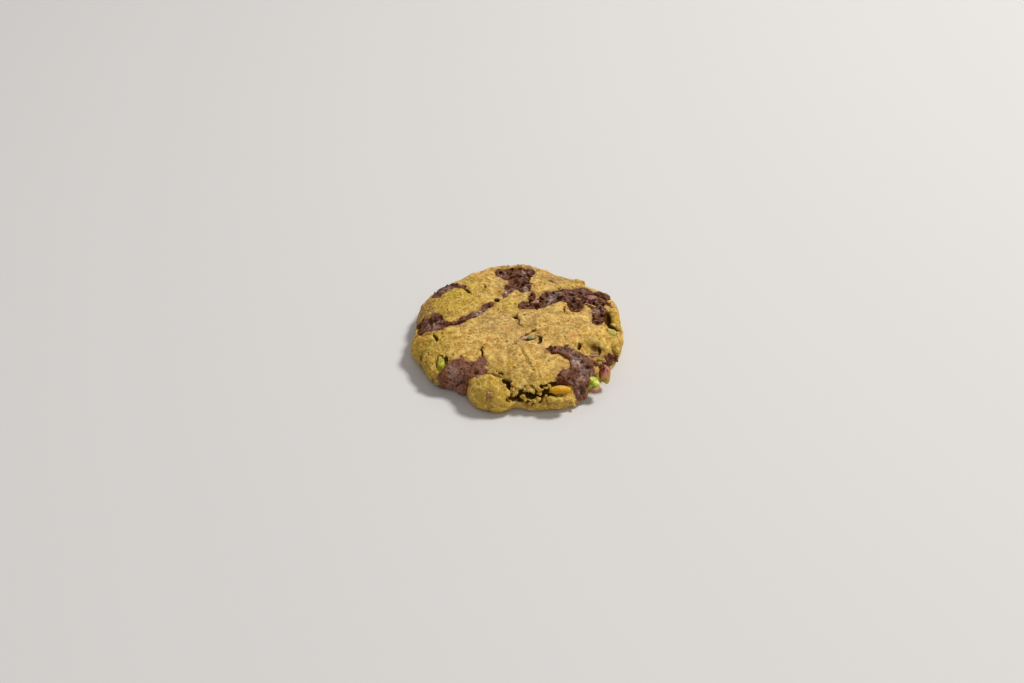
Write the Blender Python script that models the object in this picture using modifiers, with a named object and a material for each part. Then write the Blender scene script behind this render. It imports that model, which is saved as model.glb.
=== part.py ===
"""Thick round cookie of pistachio dough with chocolate chunks and pistachio kernels.

Metres, +Z up. The origin is under the middle of the cookie, on its flat underside; -Y is the front.
The dough is one body with a softly lobed edge. Every chocolate chunk and every kernel is a body of
its own, set in a pocket of the dough with a thin gap all round.
"""

import math

import bmesh
import bpy
from mathutils import Matrix, Vector

MM = 0.001
EDGE_RADIUS = 47.2
CROWN_HEIGHT = 16.5
BULGE_HEIGHT = 6.5
FOOT_INSET = 3.2
SHOULDER = 6.0
GAP = 0.36
DOUGH_SPOKES = 76
DOUGH_RINGS = 24

# Lobes and dips of the edge seen from above: (degrees from +X, spread in degrees, millimetres)
EDGE_LOBES = {
    "right flat": (4, 10, -1.3),
    "right back shoulder": (28, 11, 2.6),
    "dip right of the back crown": (60, 11, -2.4),
    "back crown": (93, 12, 2.2),
    "left back shoulder": (150, 12, 1.2),
    "left chunk dip": (179, 5, -1.4),
    "left lobe": (196, 8, 1.4),
    "left front lobe": (214, 8, 1.0),
    "front left chunk dip": (234, 6, -2.2),
    "front notch": (272, 5, -1.6),
    "front band": (298, 20, 1.6),
    "front right chunk dip": (318, 6, -1.6),
    "right dip": (334, 5, -0.9),
}

# Swells and hollows of the top: (x, y, spread, height) in millimetres
TOP_SWELLS = {
    "left back field": (-27, 13, 9, 0.55),
    "back left field": (-16, 30, 8, 0.35),
    "back right field": (16, 30, 8, 0.3),
    "middle field": (3, -4, 11, 0.25),
    "right field": (22, -9, 9, 0.45),
    "front field": (2, -31, 9, 0.35),
    "left field": (-30, -19, 9, 0.35),
    "streak valley low": (-28, -5, 3.5, -0.7),
    "streak valley high": (-17, 4, 3.5, -0.7),
    "band valley": (20, 13, 8, -0.5),
    "back valley": (0, 27, 6, -0.4),
    "back crown": (0, 43, 8, 0.8),
    "back right slope": (22, 36, 7, -0.5),
    "back left slope": (-34, 30, 6, -0.9),
}

# Chocolate chunks, each as fused lumps: (x, y, z, half width, half length, half height, turn)
CHOCOLATE = {
    "chocolate_back": [
        (-6.0, 33.5, 14.0, 4.6, 6.2, 3.4, 25),
        (-1.0, 37.5, 13.4, 3.8, 5.4, 3.4, 0),
        (5.0, 35.0, 13.9, 2.7, 5.8, 3.2, -8),
        (0.0, 28.5, 14.6, 5.2, 5.6, 3.2, 0),
        (2.6, 22.5, 15.0, 3.4, 5.2, 2.6, 0),
        (-4.4, 21.5, 15.3, 2.3, 4.8, 2.1, -12),
        (-6.0, 16.0, 15.6, 1.6, 3.0, 1.6, -20),
    ],
    "chocolate_band": [
        (2.6, 7.2, 15.6, 3.0, 3.0, 2.0, 0),
        (5.8, 13.0, 15.7, 1.6, 4.6, 1.8, -8),
        (9.0, 8.6, 15.5, 3.4, 5.0, 2.2, -30),
        (14.5, 13.5, 15.3, 4.6, 4.6, 2.6, 0),
        (21.0, 15.0, 15.1, 5.2, 5.2, 2.9, 0),
        (28.0, 15.6, 14.7, 5.6, 6.2, 3.1, 0),
        (35.0, 16.6, 13.8, 5.4, 6.4, 3.3, 0),
        (25.4, 7.4, 15.3, 3.8, 4.8, 2.5, 0),
        (36.0, 8.0, 14.8, 3.8, 6.6, 2.8, 0),
        (35.2, 0.4, 15.1, 2.7, 6.8, 2.5, -4),
        (38.8, 20.6, 11.8, 3.2, 4.6, 3.2, 0),
    ],
    "chocolate_back_left": [
        (-36.2, 21.0, 12.9, 3.2, 4.8, 2.9, -25),
        (-34.2, 26.0, 10.6, 4.6, 4.0, 3.8, 40),
        (-30.2, 25.4, 13.2, 3.6, 2.8, 2.6, -30),
        (-26.4, 22.8, 14.7, 2.6, 1.9, 1.9, -40),
    ],
    "chocolate_left": [
        (-41.8, -3.6, 12.2, 4.6, 5.4, 3.8, 0),
        (-37.0, -5.6, 13.8, 4.2, 5.6, 3.0, 0),
        (-37.0, -0.6, 14.4, 2.6, 3.4, 2.0, 0),
        (-31.0, -6.3, 15.0, 3.8, 2.0, 2.0, -8),
        (-25.6, -3.4, 15.2, 3.8, 1.8, 1.9, 36),
        (-19.6, 1.0, 15.3, 4.0, 1.9, 1.9, 36),
        (-14.6, 5.8, 15.5, 4.2, 1.8, 1.8, 44),
    ],
    "chocolate_front_left": [
        (-25.8, -34.6, 11.0, 6.6, 5.4, 5.0, -25),
        (-20.4, -35.6, 13.4, 5.0, 4.6, 3.3, 0),
        (-16.4, -32.8, 14.8, 2.6, 3.4, 1.9, 0),
        (-16.0, -38.6, 13.6, 3.2, 2.6, 2.4, 0),
        (-24.6, -36.8, 7.2, 5.4, 4.4, 5.0, -30),
        (-30.0, -32.8, 5.6, 4.6, 3.4, 4.2, -35),
        (-34.2, -30.6, 3.2, 3.2, 1.9, 2.3, -40),
    ],
    "chocolate_front_right": [
        (14.8, -26.0, 15.4, 3.4, 2.0, 1.9, -8),
        (20.2, -26.8, 15.1, 4.0, 2.9, 2.4, -24),
        (25.4, -30.2, 14.4, 4.4, 4.2, 3.0, -40),
        (27.0, -35.6, 12.2, 5.4, 5.6, 4.4, 0),
        (21.4, -39.6, 12.4, 4.4, 3.6, 3.1, 0),
        (17.8, -41.0, 12.9, 2.6, 2.4, 2.0, 0),
        (26.4, -40.4, 7.8, 3.8, 3.4, 5.2, 0),
        (31.8, -35.0, 11.2, 2.6, 2.6, 2.4, 0),
    ],
    "chocolate_right_edge": [
        (40.2, -24.8, 9.6, 1.9, 3.6, 2.6, 28),
        (41.8, -20.8, 8.6, 1.7, 2.6, 2.4, 20),
    ],
}

# Pistachio kernels: (middle, half length, half width, half thickness, turn, dip of the long axis)
KERNELS = {
    "pistachio_left": ((-34.0, -28.8, 12.3), 4.3, 1.9, 1.9, -86, 24),
    "pistachio_golden": ((17.2, -46.4, 9.6), 4.8, 2.0, 1.9, 4, 0),
    "pistachio_front_green": ((32.4, -37.4, 6.8), 3.9, 2.6, 2.4, -18, 38),
    "pistachio_rose": ((37.6, -30.6, 7.2), 4.4, 2.6, 2.4, -70, 58),
    "pistachio_pale": ((40.8, -8.2, 13.0), 2.9, 2.2, 1.9, -62, 24),
    "pistachio_in_band": ((32.6, 13.0, 16.2), 2.9, 2.1, 1.5, 24, 0),
}

# Hollows of the dough: (x, y, z, half width, half depth, half height, turn)
HOLLOWS = {
    "front crevice": (6.5, -49.6, 9.7, 11.5, 5.0, 1.9, -2),
    "front crevice right": (16.5, -49.4, 9.7, 8.0, 6.0, 2.2, 6),
    "hollow behind the front lobe": (-4.4, -44.0, 14.4, 3.4, 1.9, 3.4, -22),
    "right crevice": (40.4, 1.4, 15.2, 0.9, 6.8, 4.2, -2),
    "left kernel hollow": (-31.2, -29.8, 13.4, 1.0, 2.4, 2.2, 0),
}

# Dough lumps fused to the main body: (x, y, z, half width, half depth, half height, turn)
DOUGH_LUMPS = {
    "front lobe": (-13.4, -41.4, 7.0, 9.0, 8.2, 8.2, 0),
    "front lobe foot": (-9.0, -42.9, 4.6, 8.6, 7.9, 6.4, 0),
    "front band": (11.0, -41.6, 3.6, 17.5, 6.9, 5.0, 4),
    "front crumb a": (-1.2, -46.4, 8.0, 1.9, 1.6, 1.9, 0),
    "front crumb b": (3.2, -46.2, 9.0, 1.4, 1.9, 1.8, 20),
    "front crumb c": (9.0, -45.8, 8.9, 1.6, 1.7, 1.7, 0),
}


def bump(distance, spread):
    return math.exp(-0.5 * (distance / spread) ** 2)


def edge_radius(angle):
    """Radius of the widest line of the dough at an angle in degrees."""
    r = EDGE_RADIUS
    for middle, spread, height in EDGE_LOBES.values():
        away = (angle - middle + 180.0) % 360.0 - 180.0
        r += height * bump(away, spread)
    return r


def dough_point(angle, s):
    """Point of the dough's skin: s runs from 0 at the top's middle, 0.5 at the edge, 1 underneath."""
    r = edge_radius(angle)
    turn = math.radians(angle)
    if s <= 0.5:
        around = math.sin(math.pi * s)
        t = around ** (2.0 / SHOULDER) if s > 0 else 0.0
        t = 0.55 * t + 0.45 * (2.0 * s) if t < 0.999 else t
        z = BULGE_HEIGHT + (CROWN_HEIGHT - BULGE_HEIGHT) * math.sqrt(max(0.0, 1.0 - t**SHOULDER))
        x = r * t * math.cos(turn)
        y = r * t * math.sin(turn)
        for sx, sy, spread, height in TOP_SWELLS.values():
            z += height * bump(math.hypot(x - sx, y - sy), spread)
        return x, y, z
    u = (s - 0.5) * 2.0
    roll = min(1.0, u / 0.5)
    z = BULGE_HEIGHT * (1.0 - math.sin(0.5 * math.pi * roll))
    rim = r - FOOT_INSET * (1.0 - math.cos(0.5 * math.pi * roll))
    if u > 0.5:
        z = 0.0
        rim *= (1.0 - u) / 0.5
    return rim * math.cos(turn), rim * math.sin(turn), z


def clear_scene():
    for thing in list(bpy.data.objects):
        bpy.data.objects.remove(thing, do_unlink=True)


def collection(name):
    made = bpy.data.collections.new(name)
    bpy.context.scene.collection.children.link(made)
    return made


def material(name, colour, roughness):
    made = bpy.data.materials.new(name)
    made.use_nodes = True
    skin = made.node_tree.nodes["Principled BSDF"]
    skin.inputs["Base Color"].default_value = (*colour, 1.0)
    skin.inputs["Roughness"].default_value = roughness
    skin.inputs["Metallic"].default_value = 0.0
    return made


def new_object(name, mesh, into, look=None):
    made = bpy.data.objects.new(name, mesh)
    into.objects.link(made)
    if look is not None:
        mesh.materials.clear()
        mesh.materials.append(look)
    return made


def evaluated_copy(source, name):
    """The mesh of an object with its modifiers worked in."""
    bpy.context.view_layer.update()
    graph = bpy.context.evaluated_depsgraph_get()
    mesh = bpy.data.meshes.new_from_object(source.evaluated_get(graph))
    mesh.name = name
    return mesh


def add_ball(bm, lump, segments, rings):
    """An ellipsoid from (x, y, z, half sizes, turn about Z) in millimetres."""
    x, y, z, a, b, c, turn = lump
    place = Matrix.Translation(Vector((x, y, z)) * MM)
    place = place @ Matrix.Rotation(math.radians(turn), 4, "Z")
    place = place @ Matrix.Diagonal((a * MM, b * MM, c * MM, 1.0))
    bmesh.ops.create_uvsphere(bm, u_segments=segments, v_segments=rings, radius=1.0, matrix=place)


def ball_object(name, lump, into, segments=16, rings=10, lowest=None):
    bm = bmesh.new()
    add_ball(bm, lump, segments, rings)
    if lowest is not None:
        under = [face for face in bm.faces if max(v.co.z for v in face.verts) < lowest * MM]
        bmesh.ops.bisect_plane(
            bm,
            geom=bm.verts[:] + bm.edges[:] + bm.faces[:],
            plane_co=(0.0, 0.0, lowest * MM),
            plane_no=(0.0, 0.0, -1.0),
            clear_outer=len(under) > 0,
        )
        rim = [edge for edge in bm.edges if edge.is_boundary]
        if rim:
            bmesh.ops.contextual_create(bm, geom=rim)
        bmesh.ops.recalc_face_normals(bm, faces=bm.faces)
    mesh = bpy.data.meshes.new(name)
    bm.to_mesh(mesh)
    bm.free()
    return new_object(name, mesh, into)


def hide_cutter(cutter):
    cutter.hide_render = True
    cutter.display_type = "WIRE"


def boolean(target, other, operation):
    cut = target.modifiers.new(other.name, "BOOLEAN")
    cut.operation = operation
    cut.solver = "EXACT"
    cut.object = other


def drop_islands(mesh):
    """Keeps only the largest connected piece of a mesh."""
    bm = bmesh.new()
    bm.from_mesh(mesh)
    left = set(bm.verts)
    islands = []
    while left:
        start = left.pop()
        island = {start}
        edge = [start]
        while edge:
            v = edge.pop()
            for e in v.link_edges:
                w = e.other_vert(v)
                if w in left:
                    left.discard(w)
                    island.add(w)
                    edge.append(w)
        islands.append(island)
    islands.sort(key=len, reverse=True)
    for island in islands[1:]:
        bmesh.ops.delete(bm, geom=list(island), context="VERTS")
    bm.to_mesh(mesh)
    bm.free()


def fused(name, lumps, into, look, voxel, faces):
    """Lumps melted into one smooth body of about that many triangles."""
    bm = bmesh.new()
    for lump in lumps:
        add_ball(bm, lump, 24, 14)
    mesh = bpy.data.meshes.new(name + "_lumps")
    bm.to_mesh(mesh)
    bm.free()
    rough = new_object(name + "_lumps", mesh, into)
    melt = rough.modifiers.new("melt", "REMESH")
    melt.mode = "VOXEL"
    melt.voxel_size = voxel * MM
    relax = rough.modifiers.new("relax", "SMOOTH")
    relax.factor = 0.5
    relax.iterations = 3
    fine = evaluated_copy(rough, name + "_fine")
    fine.calc_loop_triangles()
    thin = rough.modifiers.new("thin", "DECIMATE")
    thin.ratio = min(1.0, faces / len(fine.loop_triangles))
    body = evaluated_copy(rough, name)
    bpy.data.objects.remove(rough, do_unlink=True)
    drop_islands(body)
    made = new_object(name, body, into, look)
    return made


def grown(source, into, amount):
    """A copy of a body, grown along its normals, as a cutter."""
    copy = new_object(source.name + "_pocket", source.data.copy(), into)
    grow = copy.modifiers.new("grow", "DISPLACE")
    grow.strength = amount * MM
    grow.mid_level = 0.0
    grow.direction = "NORMAL"
    mesh = evaluated_copy(copy, copy.name)
    bpy.data.objects.remove(copy, do_unlink=True)
    made = new_object(source.name + "_pocket", mesh, into)
    hide_cutter(made)
    return made


def kernel(name, spec, into, look):
    """A pistachio kernel: an egg with a keel, one end more pointed than the other."""
    middle, length, width, thick, turn, dip = spec
    bm = bmesh.new()
    bmesh.ops.create_uvsphere(bm, u_segments=14, v_segments=9, radius=1.0)
    for v in bm.verts:
        along = v.co.z
        side = v.co.x
        high = v.co.y
        taper = 1.0 - 0.16 * along - 0.10 * along * along
        v.co = Vector((along * length, side * width * taper, high * thick * taper)) * MM
    place = Matrix.Translation(Vector(middle) * MM)
    place = place @ Matrix.Rotation(math.radians(turn), 4, "Z")
    place = place @ Matrix.Rotation(math.radians(dip), 4, "Y")
    bmesh.ops.transform(bm, matrix=place, verts=bm.verts)
    bmesh.ops.recalc_face_normals(bm, faces=bm.faces)
    mesh = bpy.data.meshes.new(name)
    bm.to_mesh(mesh)
    bm.free()
    return new_object(name, mesh, into, look)


def dough_body(into, cutters, look):
    """The lobed cookie: a sphere's grid laid over the dough's profile, with the front lumps fused."""
    bm = bmesh.new()
    bmesh.ops.create_uvsphere(bm, u_segments=DOUGH_SPOKES, v_segments=DOUGH_RINGS, radius=1.0)
    for v in bm.verts:
        angle = math.degrees(math.atan2(v.co.y, v.co.x)) % 360.0
        s = math.acos(max(-1.0, min(1.0, v.co.z))) / math.pi
        x, y, z = dough_point(angle, s)
        v.co = Vector((x, y, z)) * MM
    bmesh.ops.recalc_face_normals(bm, faces=bm.faces)
    mesh = bpy.data.meshes.new("dough_main")
    bm.to_mesh(mesh)
    bm.free()
    main = new_object("dough", mesh, into, look)
    for name, lump in DOUGH_LUMPS.items():
        extra = ball_object(name.replace(" ", "_"), lump, cutters, 20, 12, lowest=0.35)
        hide_cutter(extra)
        boolean(main, extra, "UNION")
    return main


def finish_dough(main, pockets, cutters, into, look):
    for name, lump in HOLLOWS.items():
        hollow = ball_object(name.replace(" ", "_"), lump, cutters, 12, 8)
        hide_cutter(hollow)
        boolean(main, hollow, "DIFFERENCE")
    for pocket in pockets:
        boolean(main, pocket, "DIFFERENCE")
    mesh = evaluated_copy(main, "dough")
    bpy.data.objects.remove(main, do_unlink=True)
    drop_islands(mesh)
    return new_object("dough", mesh, into, look)


def centre_over_origin(bodies):
    """Works the modifiers in and moves every body so that the cookie's own box is centred."""
    for body in list(bodies):
        if body.modifiers:
            mesh = evaluated_copy(body, body.name)
            body.modifiers.clear()
            body.data = mesh
    corners = [v.co for body in bodies for v in body.data.vertices]
    middle_x = 0.5 * (min(c.x for c in corners) + max(c.x for c in corners))
    middle_y = 0.5 * (min(c.y for c in corners) + max(c.y for c in corners))
    shift = Matrix.Translation((-middle_x, -middle_y, 0.0))
    for body in bodies:
        body.data.transform(shift)


def main():
    clear_scene()
    parts = collection("pistachio_chocolate_cookie")
    cutters = collection("cutters")
    dough_look = material("baked_dough", (0.55, 0.40, 0.13), 0.8)
    chocolate_look = material("chocolate", (0.075, 0.03, 0.018), 0.45)
    green_look = material("pistachio_green", (0.33, 0.42, 0.05), 0.55)
    gold_look = material("pistachio_golden", (0.62, 0.34, 0.02), 0.5)
    rose_look = material("pistachio_skin", (0.30, 0.06, 0.07), 0.55)
    kernel_looks = {
        "pistachio_golden": gold_look,
        "pistachio_rose": rose_look,
        "pistachio_in_band": rose_look,
    }

    dough = dough_body(parts, cutters, dough_look)

    kernels = []
    for name, spec in KERNELS.items():
        kernels.append(kernel(name, spec, parts, kernel_looks.get(name, green_look)))
    pockets = [grown(k, cutters, GAP) for k in kernels]

    chunks = []
    for name, lumps in CHOCOLATE.items():
        faces = 180 + 40 * len(lumps)
        chunks.append(fused(name, lumps, parts, chocolate_look, 0.7, faces))
    for chunk in chunks:
        pockets.append(grown(chunk, cutters, GAP))

    beds = {
        "chocolate_band": ["pistachio_in_band"],
        "chocolate_front_right": ["pistachio_front_green", "pistachio_golden"],
        "chocolate_right_edge": ["pistachio_rose"],
    }
    by_name = {pocket.name: pocket for pocket in pockets}
    for chunk in chunks:
        for kernel_name in beds.get(chunk.name, []):
            boolean(chunk, by_name[kernel_name + "_pocket"], "DIFFERENCE")

    finish_dough(dough, pockets, cutters, parts, dough_look)
    centre_over_origin(parts.objects)
    for body in parts.objects:
        body.data.shade_smooth()


main()
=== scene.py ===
"""A thick pistachio cookie with melted chocolate chunks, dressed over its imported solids."""

import math

import bmesh
import bpy
import numpy as np
import openvdb
from mathutils import Matrix, Vector


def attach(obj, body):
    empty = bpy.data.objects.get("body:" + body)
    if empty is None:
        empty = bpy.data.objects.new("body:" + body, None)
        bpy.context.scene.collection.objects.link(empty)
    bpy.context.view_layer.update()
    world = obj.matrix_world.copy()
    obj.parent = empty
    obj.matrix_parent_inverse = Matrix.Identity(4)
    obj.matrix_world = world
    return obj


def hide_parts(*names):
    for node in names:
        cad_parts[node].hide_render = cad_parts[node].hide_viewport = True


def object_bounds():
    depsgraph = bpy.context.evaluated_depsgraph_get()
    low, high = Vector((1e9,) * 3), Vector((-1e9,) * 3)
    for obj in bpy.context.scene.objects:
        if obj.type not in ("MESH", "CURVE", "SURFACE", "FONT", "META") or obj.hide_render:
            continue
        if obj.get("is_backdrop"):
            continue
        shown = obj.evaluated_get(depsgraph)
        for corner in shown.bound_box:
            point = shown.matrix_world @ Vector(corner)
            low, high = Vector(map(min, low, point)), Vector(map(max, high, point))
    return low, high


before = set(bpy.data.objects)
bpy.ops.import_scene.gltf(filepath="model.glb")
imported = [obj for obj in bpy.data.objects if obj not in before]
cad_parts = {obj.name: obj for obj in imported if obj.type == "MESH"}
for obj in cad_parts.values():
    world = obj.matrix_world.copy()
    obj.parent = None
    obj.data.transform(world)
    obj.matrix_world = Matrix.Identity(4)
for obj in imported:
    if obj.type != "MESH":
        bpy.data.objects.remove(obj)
cad_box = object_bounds()

# Everything below that shapes the cookie is in millimetres; meshes are made in metres at the end.
MM = 0.001
COOKIE_VOXEL = 0.36
KERNEL_VOXEL = 0.2
BLOCK_MARGIN = 3.0
# Distances from a surface are kept up to this one
BAND = 3.2
DOUGH_TRIANGLES = 196000
HIGHEST_CREST = 18.3
FLAT_FOOT = 0.2

# How far from the plain dough's surface its voxels are worked on, how deep under it the outlines
# of the chunks are drawn, how deep the chunks go, and how deep their pockets are cut
SHELL_REACH = 3.0
FOOTPRINT_DEPTH = 0.8
CHUNK_DEPTH = 2.3
POCKET_DEPTH = 1.9

# How far a chunk's outline is pushed out from its plain solid, how far from that solid its arms
# are looked for, the gap between chunks or kernels and the dough, and how far they stay above z = 0
OUTLINE_GROWTH = 0.35
ARM_REACH = 6.0
CHUNK_GAP = 0.3
KERNEL_GAP = 0.2
LOWEST_CHOCOLATE = 0.12
LOWEST_KERNEL = 0.15

# The plain cookie, and where its middle is in the frame
PLAN_SHIFT = np.array([0.6, 0.77, 0.0])
EDGE_RADIUS = 47.2
CROWN_HEIGHT = 16.5
BULGE_HEIGHT = 6.5
FOOT_INSET = 3.2
SHOULDER = 6.0

# Lobes and dips of the edge seen from above: (degrees from +X, spread in degrees, height)
EDGE_LOBES = {
    "right flat": (4, 10, -1.3),
    "right back shoulder": (28, 11, 2.6),
    "dip right of the back crown": (60, 11, -2.4),
    "back crown": (93, 12, 2.2),
    "left back shoulder": (150, 12, 1.2),
    "left chunk dip": (179, 5, -1.4),
    "left lobe": (196, 8, 1.4),
    "left front lobe": (214, 8, 1.0),
    "front left chunk dip": (234, 6, -2.2),
    "front notch": (272, 5, -1.6),
    "front band": (298, 20, 1.6),
    "front right chunk dip": (318, 6, -1.6),
    "right dip": (334, 5, -0.9),
}

# Swells and hollows of the top: (x, y, spread, height)
TOP_SWELLS = {
    "left back field": (-27, 13, 9, 0.55),
    "back left field": (-16, 30, 8, 0.35),
    "back right field": (16, 30, 8, 0.3),
    "middle field": (3, -4, 11, 0.25),
    "right field": (22, -9, 9, 0.45),
    "front field": (2, -31, 9, 0.35),
    "left field": (-30, -19, 9, 0.35),
    "streak valley low": (-28, -5, 3.5, -0.7),
    "streak valley high": (-17, 4, 3.5, -0.7),
    "band valley": (20, 13, 8, -0.5),
    "back valley": (0, 27, 6, -0.4),
    "back crown": (0, 43, 8, 0.8),
    "back right slope": (22, 36, 7, -0.5),
    "back left slope": (-34, 30, 6, -0.9),
}

# Lumps of dough melted on: (x, y, z, half sizes, turn, softness)
DOUGH_LUMPS = {
    "front lobe": (-13.4, -41.4, 7.0, 9.0, 8.2, 8.2, 0, 0.9),
    "front lobe foot": (-9.0, -42.9, 4.6, 8.6, 7.9, 6.4, 0, 1.6),
    "front band": (11.0, -41.6, 3.6, 17.5, 6.9, 5.0, 4, 1.2),
}

# From here on places are in the frame's own millimetres.
# Hollows taken out of the dough: (x, y, z, half sizes, turn, raggedness)
HOLLOWS = {
    "front cave": (5.2, -46.9, 7.9, 9.6, 5.8, 3.2, 0, 1.5),
    "front cave right": (16.8, -45.6, 11.2, 8.6, 5.4, 1.9, 4, 0.5),
    "hollow behind the lobe": (-4.2, -41.9, 12.2, 2.5, 1.3, 4.6, -20, 0.5),
    "right crevice": (40.3, 1.6, 14.8, 2.0, 6.4, 5.2, -1, 0.5),
    "right hollow": (34.0, -20.6, 16.6, 4.6, 3.0, 3.6, 10, 0.6),
    "right hollow low": (38.2, -20.6, 13.6, 2.2, 1.6, 1.6, 0, 0.4),
    "middle pit": (-0.9, -1.0, 16.8, 1.2, 1.3, 2.2, 10, 0.3),
    "streak end hole": (-9.4, 11.8, 16.6, 1.3, 1.4, 3.2, 0, 0.2),
    "nut hollow": (4.6, -16.0, 18.2, 5.0, 3.0, 2.4, 25, 0.4),
    "green kernel shade": (-30.8, -28.4, 13.6, 0.9, 2.4, 2.2, 5, 0.2),
    "lobe shade": (-3.2, -43.6, 10.8, 1.6, 1.4, 2.4, -20, 0.4),
    "low right pit": (44.6, -12.6, 9.6, 1.4, 1.0, 1.0, 0, 0.3),
    "low right pit below": (42.4, -20.6, 7.0, 1.3, 0.9, 1.1, 0, 0.3),
    "edge chunk shade": (41.2, -24.2, 10.6, 2.4, 3.0, 2.6, 0, 0.4),
    "under the olive nut": (36.6, -33.0, 3.0, 3.0, 3.4, 3.0, 0, 0.4),
}

# Hollows whose walls are broken into fine crumbs
CRUMBLED_HOLLOWS = ("front cave", "edge chunk shade", "right hollow low")

# Lumps all over the baked surface, from broad to fine: (depth, size, seed)
SURFACE_LUMPS = [(0.45, 9.0, 3), (0.36, 4.4, 5), (0.20, 2.1, 8), (0.08, 1.05, 9)]
CRAG_HEIGHT = 0.16
SMALL_NICKS = 150
NICKS_WITHIN = 46.5

# The roughness fades in over these heights, so that the underside stays flat
SMOOTH_BELOW = 0.3
ROUGH_ABOVE = 1.5

# Where the surface is pushed out, or in where negative: (x, y, z, spread, height)
SWELLS = [
    (1, 47, 12, 8, -1.0), (36, 29, 13.5, 5.5, -1.9), (42.5, 19, 13, 5, -1.1), (-48, -12, 9, 4.0, 1.2),
    (-46, -6.6, 11.5, 1.5, -1.5), (46, -6, 8, 3, 0.6), (47, -13, 8, 2.4, -0.9), (45, -18.5, 8, 2.4, 0.8),
    (22, 5.4, 17, 2.6, 0.7), (33, -12, 16, 4, 0.6), (22, -14, 17, 5, 0.5), (-30, -14, 16, 6, 0.5),
    (-27, 12, 16, 5, 0.6), (-31, 7, 16, 3, 0.4), (-22, 15, 16, 3, 0.3), (-2.5, 6.4, 17, 2.6, 0.5),
    (5, -36, 16, 5, 0.5), (14, -33, 16, 4, 0.5), (-8, -30, 16, 5, 0.4), (-41, -25, 10, 5, 0.5),
    (-33.6, -32.4, 8, 3, 0.9), (-10, -13, 17, 3, 0.3), (12, -9, 17, 3.5, 0.4), (31, 0, 17, 3, 0.4),
    (5.8, -6, 17, 3, 0.4), (-6, -4, 17, 3, -0.3), (0.5, -17, 17, 2.6, -0.4), (-9, -19, 17, 2.4, 0.4),
]

# Cracks in the top: points seen from above, half width, depth
CRACKS = {
    "middle pit arm": ([(-2.6, -1.6), (-1.0, -1.2), (0.8, -2.4), (0.6, -4.9), (2.3, -7.9)], 0.42, 1.2),
    "middle pit arm back": ([(-0.6, -0.6), (-0.2, 1.8)], 0.4, 1.2),
    "nut hollow back": ([(-1.0, -20.0), (0.1, -17.8), (2.0, -15.6), (4.6, -13.0), (7.6, -11.0)], 0.45, 1.5),
    "nut hollow hole": ([(5.4, -12.2), (7.8, -10.6)], 0.8, 1.8),
    "nut hollow front": ([(8.7, -14.4), (9.9, -16.6), (9.8, -18.9), (8.4, -20.6)], 0.75, 2.4),
    "middle crease": ([(0.2, -22.4), (2.0, -25.8), (3.5, -28.8), (5.0, -33.6), (6.8, -37.0)], 0.8, 0.75),
    "middle crease lip": ([(-2.2, -18.0), (-1.6, -20.0), (0.2, -22.4)], 0.5, 0.7),
    "left crack": ([(-37.4, -11.4), (-36.7, -13.1), (-35.9, -14.8), (-35.4, -17.2)], 0.55, 1.9),
    "left middle crack": ([(-14.4, -21.0), (-15.9, -24.0), (-15.4, -25.9), (-14.7, -29.0)], 0.42, 2.0),
    "left middle twig": ([(-14.9, -22.0), (-13.6, -20.0)], 0.35, 1.2),
    "back left crack": ([(-15.4, 24.4), (-14.5, 23.0), (-14.7, 21.0)], 0.4, 1.4),
    "back left twig": ([(-14.5, 23.0), (-12.6, 22.9)], 0.35, 1.1),
    "chunk shade crack": ([(-25.4, 22.6), (-24.0, 21.2), (-22.6, 19.0), (-20.9, 17.2)], 0.75, 2.0),
    "right notch": ([(26.7, -19.6), (26.9, -21.2), (26.4, -23.6)], 0.7, 2.6),
    "right hollow crack": ([(35.2, -18.6), (35.5, -20.4), (35.6, -23.4)], 0.6, 2.2),
    "band foot crack": ([(21.4, 7.0), (20.9, 5.0), (21.2, 2.6)], 0.4, 1.6),
    "left edge crease": ([(-42.0, -17.0), (-42.3, -20.2), (-42.3, -22.4), (-41.2, -25.6)], 0.5, 1.0),
    "right crevice bend": ([(40.2, -2.6), (40.9, -4.4), (43.0, -4.7), (47.0, -3.0)], 1.5, 4.6),
    "lobe top groove": ([(-13.4, -39.6), (-10.6, -39.4), (-8.2, -40.0), (-6.2, -40.8)], 0.7, 1.1),
    "front field hole": ([(-8.4, -37.7), (-6.6, -38.2), (-5.9, -39.2)], 0.5, 1.4),
    "front field nick": ([(5.6, -36.9), (7.4, -38.0)], 0.35, 0.8),
    "back field nick": ([(12.4, 28.9), (15.0, 28.1), (17.6, 26.6)], 0.5, 1.1),
    "back field fold": ([(9.0, 33.4), (14.2, 31.2), (19.6, 29.6)], 0.7, 0.5),
    "edge fold": ([(24.0, 28.9), (26.6, 28.6), (29.4, 30.0)], 0.6, 0.8),
    "green side groove": ([(-36.2, -25.4), (-35.8, -28.6), (-36.4, -31.0)], 0.7, 0.6),
    "nut mix crack": ([(31.0, -24.8), (34.4, -24.3), (37.6, -24.9)], 0.5, 0.9),
    "nut mix crack down": ([(34.8, -25.2), (35.4, -27.4), (35.2, -29.2)], 0.5, 1.1),
    "left step": ([(-46.6, -6.4), (-44.0, -7.6), (-41.4, -8.6)], 0.7, 1.2),
    "left chunk gap": ([(-31.6, -30.4), (-31.0, -32.6), (-30.8, -34.6)], 0.6, 2.2),
    "left lobe crease": ([(-43.2, -9.4), (-40.6, -10.8), (-38.4, -11.6)], 0.6, 0.8),
}

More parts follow.
